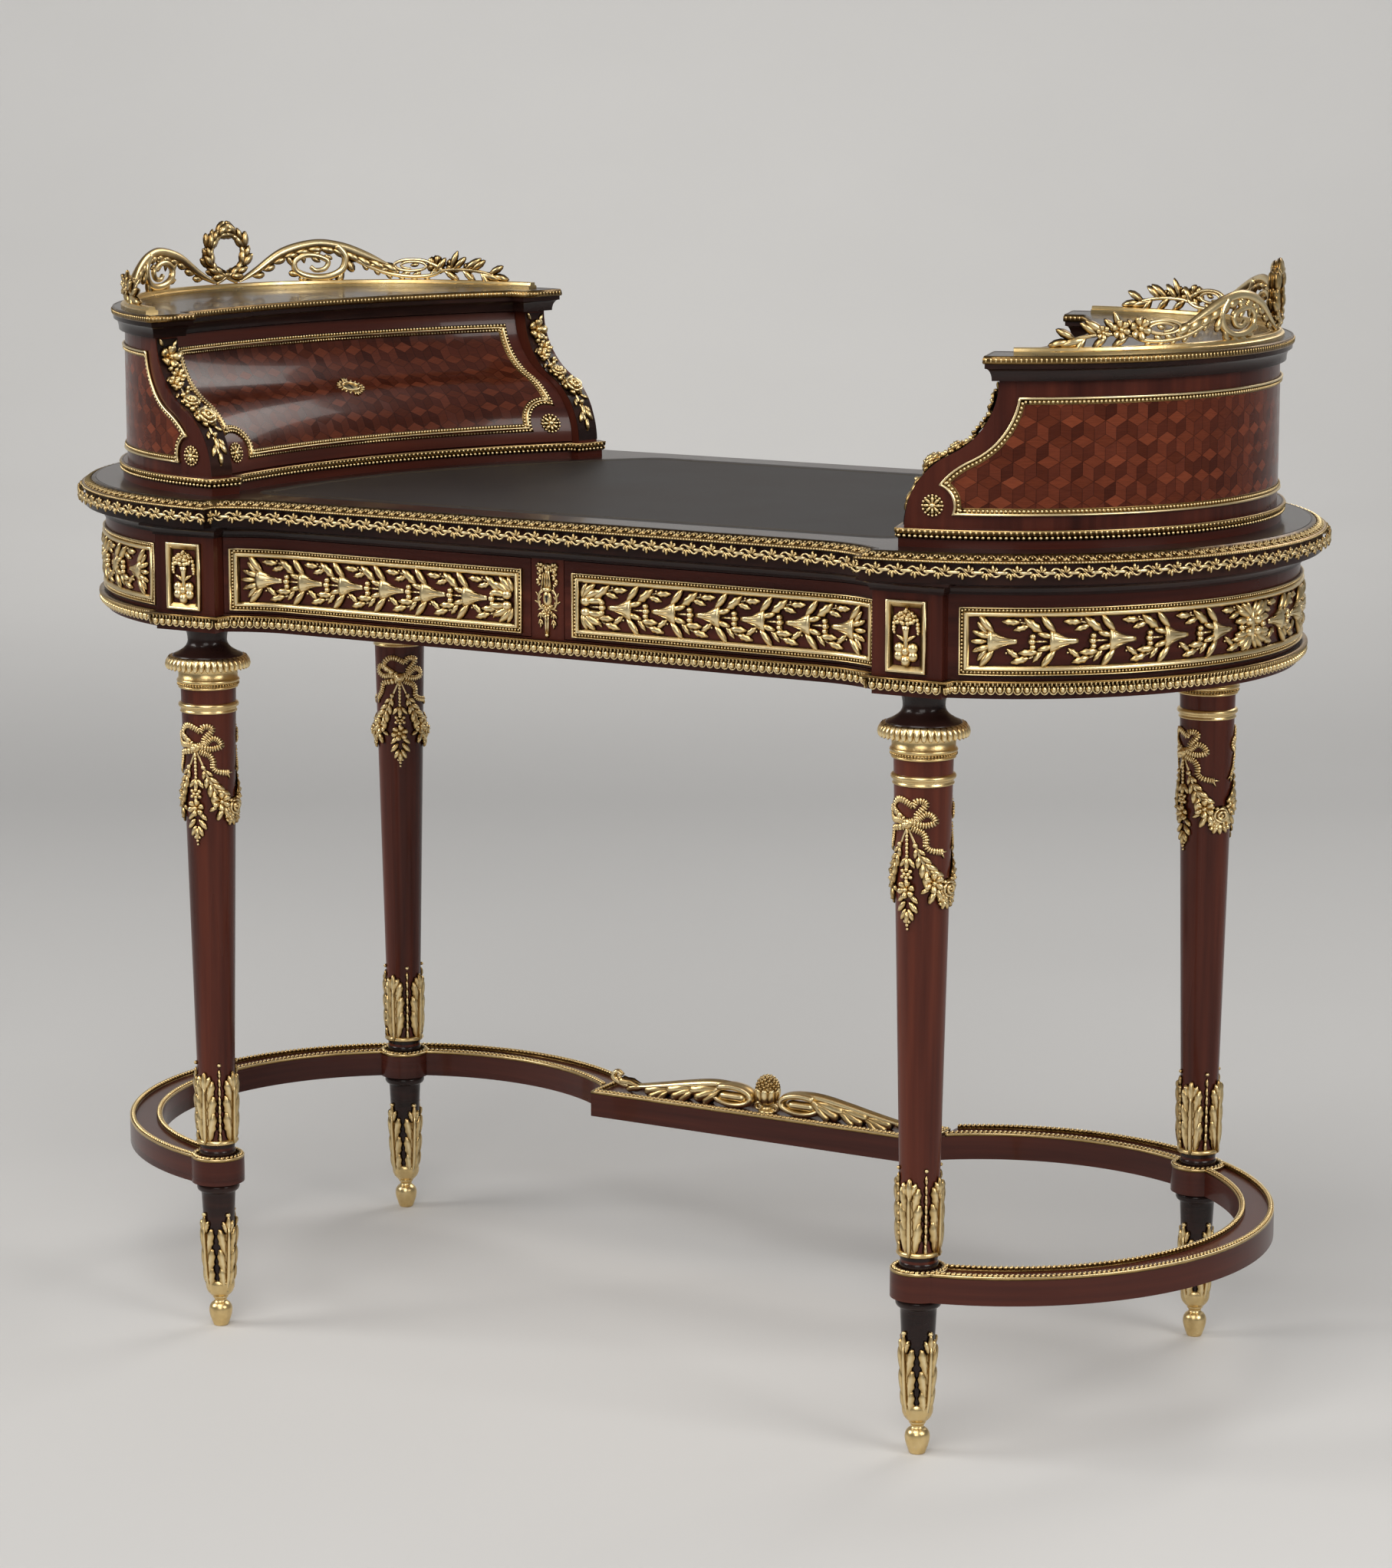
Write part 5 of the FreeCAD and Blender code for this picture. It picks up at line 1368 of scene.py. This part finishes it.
def stretcher_rope():
    """Gilt edging on the stretcher: a fillet along its outer edge and a twisted rope of short leaning
    strands beside it."""
    pitch, depth = 4.4, 3.1
    rings = [circle(boss_r, 60, x, y) for x, y in leg_places]
    rings.append(rectangle(-bar_reach, bar_reach, bar_middle - bar_half, bar_middle + bar_half, 60))
    arcs = stretcher_arcs()
    fillets = [hoop(ring, rope_profile) for ring in rings] + [lath(arc, rope_profile) for arc in arcs]
    ways = [along(inset(ring, depth), pitch) for ring in rings]
    for arc in arcs:
        places, ahead = along(arc, pitch, closed=False)
        ways.append((places + depth * left_of(ahead), ahead))
    places, ahead = (np.vstack(part) for part in zip(*ways))
    strands = copies(knob(3.3, 1.75, 2.3, 4, 6, True), spots(*places.T, bearing(ahead) + 0.75, 1, 2.4))
    piece("gilt_rope_edging", [moved(shape, 0, 0, stretcher_top) for shape in fillets + [strands]], gilt,
          stands_for=["stretcher_edging"])


def scroll_half():
    """One half of the mount on the bar, seen from the front: an oblong roll round a flat long eye, a body
    that thins along the bar to a curled tip, and three groups of rounded lobes that hang from it."""
    roll = tube(spiral(37, 11.4, 22.4, 9.4, 0.9, 1.2, 0.8, 48), np.linspace(4.0, 2.6, 48), 8, 2.2)
    eye = straight(28, [3.6, 4.6, 4.6, 4.6, 4.6, 4.6, 4.6, 3.6], 12, 1.3)
    upper = curve([(16, 15), (26, 21.6), (42, 25), (62, 24.4), (88, 20), (116, 14.4), (142, 10),
                   (158, 10.4), (166, 15)], 60)
    lower = curve([(20, 14), (30, 17.4), (46, 18), (60, 15), (86, 11), (114, 7), (142, 3.4), (156, 5),
                   (160, 12)], 60)
    tip = curve([(150, 7), (161, 9), (168, 14), (164, 19), (158, 16)], 20)
    curl = tube(tip, np.linspace(4, 1.8, 20), 8, 1.6)
    lobe = leaf(38, 15, 5.0, 11, 5, 0.78, teeth=2, back=0.4)
    groups = []
    for s, t, size in ((46, 18.4, 1.0), (74, 15, 0.92), (102, 10.4, 0.82)):
        groups.append(put(lobe, s, t, [-12, -25, -40], [size, size * 0.9, size * 0.72], [2.2, 3.2, 4.2]))
    end = put(lobe, [128, 134], [8.4, 8], [-10, 6], [0.66, 0.7], [2.4, 2.8])
    return join([roll, put(eye, 23, 10.6), plate(upper, lower, 4.6), curl,
                 mirror(join(groups + [end]), 2)])


def scroll_mount():
    """Two leaf scrolls on the bar, and a seat between them with small volutes."""
    curls = mirror(tube(spiral(8.4, 5.0, 4.8, 4.2, 2.6, -1.3, 0.3, 26), np.linspace(2.0, 1.2, 26), 8, 2.2))
    half = join([mirror(scroll_half()), curls])
    standing = (half[0][:, [0, 2, 1, 3]] * (1, -1, 1, 1), half[1][:, ::-1])
    seat = turned([(9, 0), (9, 1.6), (7, 3.0), (5.2, 4.6), (4.8, 6.4), (6, 8.2), (7, 10)], 32)
    place = (0, bar_middle, stretcher_top)
    piece("gilt_scroll_mount", [moved(standing, *place), moved(seat, *place)], gilt,
          stands_for=["stretcher_scroll_mount"])


def berried_finial():
    """A berried cone: berries in turning rows above a cup of broad upright flutes."""
    count = 60
    k = np.arange(count) + 0.5
    rise = k / count
    radius = 10 * np.sqrt(np.clip(1 - rise ** 2, 0.0, 1)) + 0.2
    a = k * math.pi * (3 - math.sqrt(5))
    berry = knob(2.1, 2.1, 2.1, 4, 6, True)
    berries = put(berry, radius * np.cos(a), radius * np.sin(a), 0, 1, 23 + 11.6 * rise)
    core = turned([(5, 8), (8.6, 16), (9.4, 23), (8.2, 29), (4.4, 33.6), (1, 34.6)], 24)
    cup = [(4.4, 7.8, 0.2), (8.2, 9.2, 0.5), (11, 12.8, 0.9), (12.4, 17.6, 1), (12.4, 21.6, 1),
           (11.6, 24.4, 1), (9.6, 23.4, 0.6), (6, 14, 0)]
    flutes = leaf_ring(9, cup, 2.2, -2.8)
    whole = join([berries, core, flutes])
    piece("gilt_berried_finial", [moved(whole, 0, bar_middle, stretcher_top)], gilt,
          stands_for=["pinecone_finial"])


# Cabinets

wall_low, wall_high = 11.0, 106.0
wall_profile = [(0, -0.3), (0, 2.2), (0.6, 2.8), (1.6, 2.7), (2.1, 0.7), (5.6, 0.7), (6, 0.8), (6, -0.3)]
face_profile = [(0, -0.3), (0, 0.6), (3.0, 0.6), (3.3, 2.2), (3.9, 2.6), (4.5, 2.2), (4.8, 0.6), (8, 0.6),
                (8, -0.3)]


def notched(edge, low, high, beside):
    """A closed panel line between an edge and its reflection. Its lower corners are cut by a hollow quarter
    round a rosette that lies beside the corner. Edge gives s at each t. Also gives the rosette's place."""
    notch_h, rosette_h = 24.0, 7.4
    corner = np.array([float(edge(low + notch_h)), low + notch_h])
    rosette_at = np.array([corner[0] + beside, low + rosette_h])
    across, up = corner - rosette_at
    notch_r = math.hypot(across, up)
    a = np.linspace(math.pi + math.asin(rosette_h / notch_r), math.atan2(up, across), 12)
    hollow = rosette_at + rays(notch_r, a)
    t = np.linspace(corner[1], high, 24)[1:]
    right = np.vstack([hollow, np.column_stack([edge(t), t])])
    left = right[::-1] * (-1, 1)
    foot = np.linspace(-right[0, 0], right[0, 0], 60)[1:-1]
    head = np.linspace(right[-1, 0], -right[-1, 0], 60)[1:-1]
    line = np.vstack([np.column_stack([foot, 0 * foot + low]), right,
                      np.column_stack([head, 0 * head + high]), left])
    return line, rosette_at


def veneer(line, depth):
    """A thin sheet inside a panel line: rows of constant height, each between the line's two sides."""
    inner = inset(line, depth)
    half = inner[inner[:, 0] > 0]
    t = np.linspace(inner[:, 1].min() + 0.05, inner[:, 1].max() - 0.05, 40)
    rising = half[np.argsort(half[:, 1])]
    side = rising[rising[:, 0] > rising[:, 0].max() * 0.55]
    s = np.interp(t, side[:, 1], side[:, 0])[:, None] * np.linspace(-1, 1, 90)[None, :]
    top = lay(s, t[:, None], 0.35, 1.0)
    under = lay(s, t[:, None], -0.2, 0.0)
    return capped(np.concatenate([top, under[:, ::-1]], axis=1))


def wall_line(t):
    """Where the frame on a round wall ends, a margin behind and below the ogee edge."""
    behind, below = 16.0, 4.0
    lean = ogee_lean(np.minimum(t + below, case_h))
    return cabinet_r * np.arccos((pilaster_foot + behind + lean) / cabinet_r)


def hollow_line(t):
    """Where the frame on a hollow front ends."""
    return front_half - 10 + 0 * t


def escutcheon():
    """An oval keyhole plate: a plain field in a ring, leaves all round it and a tuft above and below."""
    oval = circle(1, 36) * (10, 7.4)
    ring = hoop(oval, [(0, 0), (0, 1.6), (0.8, 2.2), (1.8, 1.4), (1.8, 0)])
    a = polar(18)
    rim = copies(leaf(5.4, 3.4, 2.2, 3, 3, 0.5), spots(9.6 * np.cos(a), 7.4 * np.sin(a), a))
    blade = leaf(8, 4, 2.6, 4, 3, 0.5)
    tufts = put(blade, 0, [8, 8, 8, -8, -8, -8], [90, 55, 125, 270, 235, 305], 0.8, 0.6)
    return join([knob(11, 8.4, 1.2, 3, 24), ring, rim, tufts])


def wall_frames():
    """Gilt frames, rosettes and parquetry of the round walls, the parquetry in lighter tones of painted
    light.
    """
    line, rosette_at = notched(wall_line, wall_low, wall_high, 5.0)
    flat = join([hoop(line, wall_profile), beading(line, 3.9, 3.6, 1.6, 0.7),
                 mirror(put(rosette(9.4), *rosette_at))])
    sheet = veneer(line, 4.8)
    grounds = [on_round(side, cabinet_r, case_low) for side in (-1, 1)]
    piece("gilt_cabinet_frames", [wrap(flat, ground) for ground in grounds], gilt,
          stands_for=["cabinet_wall_frames"])
    # The walls' parquetry takes the lighter tones of painted light
    piece("cabinet_parquetry", [wrap(sheet, ground) for ground in grounds], lit_wall_parquetry,
          measure=np.vstack([sheet[0][:, :3]] * 2), crease=40)


def hollow_fronts():
    """Gilt frames, rosettes, keyhole plates and parquetry of the cabinet drawers."""
    middle = ogee_length / 2
    line, rosette_at = notched(hollow_line, wall_low, ogee_length - 12, -8.5)
    flat = join([hoop(line, face_profile), beading(line, 1.5, 3.3, 1.5, 0.6),
                 beading(line, 6.4, 3.1, 1.35, 0.6), mirror(put(rosette(9.4), *rosette_at)),
                 moved(escutcheon(), 0, middle)])
    sheet = veneer(line, 6.6)
    hole = join([put(keyhole(0.9), 0, middle + 2, 0, 1, 1.2), put(knob(1.0, 1.0, 0.6, 2, 8), 17, middle)])
    for side, word in sides:
        body = "cabinet_drawer_" + word
        piece("gilt_cabinet_drawer_mounts_" + word, [wrap(flat, on_hollow(side))], gilt, body=body,
              stands_for=["cabinet_drawer_mounts_" + word])
        piece("drawer_parquetry_" + word, [wrap(sheet, on_hollow(side))], parquetry, body,
              measure=sheet[0][:, :3], crease=40)
        piece("cabinet_keyhole_" + word, [wrap(hole, on_hollow(side))], shadow, body=body)


def flower_drop():
    """A hanging garland for a pilaster, up its ogee: a great blossom at the head, two flowers, buds, a
    half-open rose, a full rose, a leaf and three drop leaves."""
    k = ogee_length / 145
    blade = leaf(13, 6.8, 3.4, 5, 5, 0.5, lift=1.5, teeth=2)
    stem = tube(curve(np.array([(0, 10), (1, 40), (-1, 80), (1, 110), (0, 136)]) * (1, k), 40), 1.3, 6)
    leaves = put(blade, [5, -5, 0, 4, -4, 5, -5, 4, -4, 4, -3],
                 k * np.array([136, 134, 116, 110, 98, 92, 84, 64, 46, 42, 34]),
                 [62, 118, -90, -40, 220, -50, 230, -46, 222, -66, 240], 0.72, 0.2)
    buds = put(knob(2.7, 2.7, 4.6, 3, 7), [-6.4, 6, -3, 3.4, -6.6, 7, 0, 3, -7],
               k * np.array([95, 96, 90, 87, 66, 66, 37, 116, 118]), 0, 1, 0.6)
    head = put(flower(10.6, 5, 7), 0, 127 * k, 20, 1, 1)
    pair = put(flower(7.4, 6, 6), [-3.4, 4], k * np.array([109, 101]), 0, 1, 1.4)
    roses = join([put(rose(9.6, 8), 1.4, 77 * k, 20, 1, 0.6), put(rose(11.4, 9), -0.4, 55 * k, 0, 1, 0.8)])
    tip = put(leaf(15, 7, 3.8, 5, 5, 0.5), [0, -2, 2, 0], k * np.array([36, 30, 29, 22]),
              [-90, -118, -62, -90], [0.9, 0.85, 0.85, 0.8], [0, 0.4, 0.4, 0.8])
    return join([stem, leaves, buds, head, pair, roses, tip])


def pilaster_drops():
    """Dark ogee fields on the pilasters, with a flower drop on each."""
    middle = (front_half + pilaster_out) / 2
    half = 11.4
    t = np.linspace(2, ogee_length - 2, 40)[:, None]
    field = capped(lay(np.array([[-half, half, half, -half]]), t, np.array([[0.4, 0.4, -0.2, -0.2]]), 0.5))
    drop = flower_drop()
    grounds = [on_pilaster(side, end * middle) for side in (-1, 1) for end in (-1, 1)]
    piece("gilt_flower_drops", [wrap(drop, ground) for ground in grounds], gilt)
    piece("dark_pilaster_fields", [wrap(field, ground) for ground in grounds], dark_mahogany,
          crease=40)


def cabinet_bands():
    """Bands of leaves over pearls round the plinths, and leaf bands over dark coves round the caps."""
    low, cove_low = case_low - 8, cap_top - 20
    base = [(4, low), (5.0, low), (5.2, low + 3.6), (6.4, low + 4.2), (6.8, low + 7.2), (6.8, case_low),
            (4, case_low)]
    cap = [(9.4, cap_top - 6.2), (11, cap_top - 6.2), (11.6, cap_top - 5), (11.3, cap_top - 2.2),
           (10.6, cap_top + 0.1), (9, cap_top + 0.3), (9, cap_top - 0.6)]
    a = np.linspace(0, np.pi / 2, 7)
    cove = [(4.8, cove_low)] + [(5.1 + 4.5 * (1 - math.cos(k)), cove_low + 10 * math.sin(k)) for k in a]
    cove.append((4.8, cove_low + 10))
    scale = leaf(4.4, 4.2, 1.6, 2, 3, 0.45)
    small = leaf(5.0, 3.4, 1.1, 2, 3, 0.4)
    gilts, coves = [], []
    for side in (-1, 1):
        foot = crescent(side, 0.0)
        head = crescent(side, ogee_back)
        gilts += [band(foot, base, 0.5), band(head, cap, 0.25),
                  copies(knob(1.75, 1.75, 2.0, 2, 7), upright(*along(foot(5.2), 4.6), low + 1.9)),
                  copies(scale, hanging(upright(*along(foot(6.0), 4.6), low + 7.9))),
                  copies(small, hanging(upright(*along(head(10.9), 4.0), cap_top - 0.8)))]
        coves.append(band(head, cove))
    piece("gilt_cabinet_bands", gilts, gilt, stands_for=["cabinet_bands"])
    piece("cabinet_cornice_coves", coves, dark_mahogany, crease=40)


# Galleries

def wreath():
    """A laurel wreath standing on the rail: two branches that rise from crossed stems and a bow and meet at
    the top, their leaves a little uneven."""
    middle, r = 28.0, 21.0
    a = np.linspace(-1.4, 1.46, 8)
    s, t = r * np.cos(a), middle + r * np.sin(a)
    way = a + np.pi / 2
    uneven = 0.92 + 0.14 * np.sin(7 * a)
    blade = leaf(15.5, 8.8, 3.2, 5, 5, 0.5, back=1.0)
    layers = ((-0.42, 1.8), (0.5, -0.6), (0.04, 3.0), (-0.2, -2.2))
    leaves = [copies(blade, spots(s, t, way + turn, uneven, n)) for turn, n in layers]
    ring = tube(np.column_stack([s, t, 0 * s]), 2.0, 6)
    berries = put(knob(1.8, 1.8, 1.8, 4, 6, True), s * 1.1, middle + (t - middle) * 1.1, 0, 1, 3.4)
    stem = tube(curve([(-12, 0.8), (-5, 4), (3, 8), (9, 10)], 14), np.linspace(1.6, 2.6, 14), 6)
    loop = ribbon([(0, 9), (6, 12.4), (12, 12.4), (14, 8), (8, 5.6), (0, 8)], 2.4, 10)
    return mirror(join(leaves + [ring, berries, stem, loop, put(knob(3, 3, 3.4, 4, 8, True), 0, 8.6)]))


def leafy(line, spacing, spread, size, n=0.0):
    """Broad leaves that lie close along a line, all turned to one side of it."""
    blade = leaf(15, 8.0, 3.0, 5, 5, 0.62, back=1.0)
    places, ahead = along(line, spacing, closed=False)
    growth = np.linspace(*size, len(places))
    return copies(blade, spots(places[:, 0], places[:, 1], bearing(ahead) + spread, growth, n))


def gallery_half():
    """Half of a gallery from the wreath outwards: a broad arch, smooth above and leafy below, with a
    hanging spiral, a lower stem with a flat thin loop, and a flowering spray that dies away on the rail."""
    upper = curve([(12, 2), (32, 14), (60, 31.5), (93, 39), (120, 36), (144, 27), (166, 15)], 60)
    lower = curve([(16, 0.5), (36, 8), (63, 23), (93, 30.5), (117, 28), (139, 20.5), (164, 14)], 60)
    hang = curve([(116, 33), (124, 22), (121, 10), (108, 3.4), (90, 3.4), (76, 9), (74, 18), (84, 24),
                  (97, 23), (107, 18), (104, 11), (95, 9.5), (90, 13)], 80)
    stem = curve([(116, 30), (132, 20), (150, 11), (168, 5), (190, 2.6), (208, 4.4), (216, 10),
                  (206, 15.6)], 50)
    loop = spiral(188, 13, 20, 6.4, 0.2, 1.7, 0.45, 60)
    bands = [plate(upper, lower, 3.0), tube(hang, np.linspace(4.0, 2.2, 80), 8), tube(stem, 2.0, 8),
             tube(loop, np.linspace(1.7, 1.2, 60), 6)]
    edges = [leafy(lower[4:], 12, -0.2, (0.9, 1.25)), leafy(hang[4:52], 11, 0.24, (1.1, 0.8), 0.6),
             leafy(stem[6:30], 12, 0.45, (0.8, 0.7)), leafy(stem[8:34], 13, -0.4, (0.62, 0.55))]
    blade = leaf(15, 8, 3.0, 5, 5, 0.55, back=1.0)
    inner = put(blade, [80, 84, 92, 100, 104, 186], [22, 16, 24, 17, 24, 13], [30, 100, 60, 150, -30, 10],
                [0.8, 0.7, 0.7, 0.7, 0.6, 0.6], 0.8)
    spray = sprig([(206, 6), (226, 9.5), (250, 9), (270, 5)], 7, 18, 0.7, 1.8, 1.0)
    tip = put(leaf(23, 10, 3.2, 8, 5, 0.5, teeth=3, back=1.0), [256, 240, 226], [6, 10, 11], [-12, 32, 66],
              [1.0, 0.9, 0.8])
    buds = put(flower(8.4, 6, 4.4, 0.8), [211, 228, 243], [13.4, 13, 11], 0, [1.15, 0.95, 0.7], 1.6)
    return join(bands + edges + [inner, spray, tip, buds])


def galleries():
    """The pierced galleries on their stepped rails."""
    flat = join([wreath(), mirror(gallery_half())])
    end = math.radians(79)
    outer = [(6, cap_top), (6, cap_top + 2.2), (5.2, cap_top + 3), (3.6, cap_top + 3.2),
             (3.2, rail_top - 0.6), (2.4, rail_top)]
    rail = arc_strip(gallery_r, -end, end, outer + [(-out, z) for out, z in outer[::-1]], 120)
    shapes = [wrap(flat, on_round(side, gallery_r, rail_top)) for side in (-1, 1)]
    rails = [wrap(rail, in_cabinet(side)) for side in (-1, 1)]
    piece("gilt_galleries", shapes, gilt, stands_for=["galleries"])
    piece("gilt_gallery_rails", rails, plain_gilt, stands_for=["gallery_rails"], crease=40)


# The stage

def floor():
    """A pale round floor that sweeps up into a wall all round, well outside the camera."""
    bend = np.linspace(0, np.pi / 2, 16)
    reach = np.concatenate([[0, 1, 2, 4], 6 + 4 * np.sin(bend), [10, 10]])
    height = np.concatenate([[0, 0, 0, 0], 4 * (1 - np.cos(bend)), [6, 9]])
    a = polar(96)[None, :]
    points, quads = skin(lay(reach[:, None] * np.cos(a), reach[:, None] * np.sin(a), height[:, None], 0.0))
    mesh = bpy.data.meshes.new("floor")
    mesh.from_pydata(points[:, :3].tolist(), [], [list(dict.fromkeys(quad)) for quad in quads.tolist()])
    mesh.polygons.foreach_set("use_smooth", np.ones(len(mesh.polygons), bool))
    made = Finish("pale floor")
    place = made.place()
    colour = made.ramp(made.noise(place, 0.7), (0.3, (0.60, 0.60, 0.595)), (0.7, (0.63, 0.63, 0.625)))
    mesh.materials.append(made.done(colour, 0.65))
    ground = bpy.data.objects.new("floor", mesh)
    bpy.context.collection.objects.link(ground)
    return ground


def direction(way):
    """The turn that points a lamp along a way with its head up."""
    across = math.hypot(way[0], way[1])
    return math.atan2(across, -way[2]), 0.0, math.atan2(-way[0], way[1])


def lamp(name, place, aim, size, power, colour=(1, 0.97, 0.93)):
    """A soft square lamp at a place, turned to what it lights."""
    data = bpy.data.lights.new(name, "AREA")
    data.size = size
    data.energy = power
    data.color = colour
    made = bpy.data.objects.new(name, data)
    made.location = place
    made.rotation_euler = direction(np.subtract(aim, place))
    bpy.context.collection.objects.link(made)
    return made


def studio():
    """Soft lamps, a dim surrounding and the camera. The camera is the one fitted to the photo: its focal
    length and the photo's height are in the photo's pixels."""
    focal, photo_h = 5784, 2044
    tilt, swing = math.radians(10.48), math.radians(29.86)
    middle = (0, 0, 0.6)
    lamps = [lamp("left", (-2.7, -1.8, 2.3), middle, 1.5, 52),
             lamp("right", (3.2, -0.6, 2.2), middle, 1.5, 44),
             lamp("above", (0.3, -2.0, 3.4), middle, 2.0, 50),
             lamp("front", (1.4, -3.6, 2.2), middle, 1.8, 34),
             lamp("back", (0.6, 2.8, 2.8), (0, 0, 0.8), 1.6, 30),
             lamp("wall", (-2.2, 3.6, 4.4), (-5, 8.7, 2.2), 3.0, 210)]
    world = bpy.data.worlds.new("studio")
    world.use_nodes = True
    ground = world.node_tree.nodes["Background"]
    ground.inputs["Color"].default_value = (0.62, 0.62, 0.64, 1)
    ground.inputs["Strength"].default_value = 0.42
    bpy.context.scene.world = world
    data = bpy.data.cameras.new("camera")
    data.sensor_width = 36
    data.lens = data.sensor_width * focal / photo_h
    camera = bpy.data.objects.new("camera", data)
    camera.location = (1.9537, -3.374, 1.2188)
    camera.rotation_euler = (TAU / 4 - tilt, 0, swing)
    bpy.context.collection.objects.link(camera)
    bpy.context.scene.camera = camera
    bpy.context.scene.view_settings.view_transform = "Standard"
    floor()


woods()
rim_band()
vine_band()
leather_tooling()
dark_cavetto()
egg_band()
drawer_mounts()
panel_mounts()
block_mounts()
stile_mount()
turned_legs()
leg_capitals()
leg_swags()
leaf_collars()
leaf_sabots()
stretcher_rope()
scroll_mount()
berried_finial()
wall_frames()
hollow_fronts()
pilaster_drops()
cabinet_bands()
galleries()
studio()
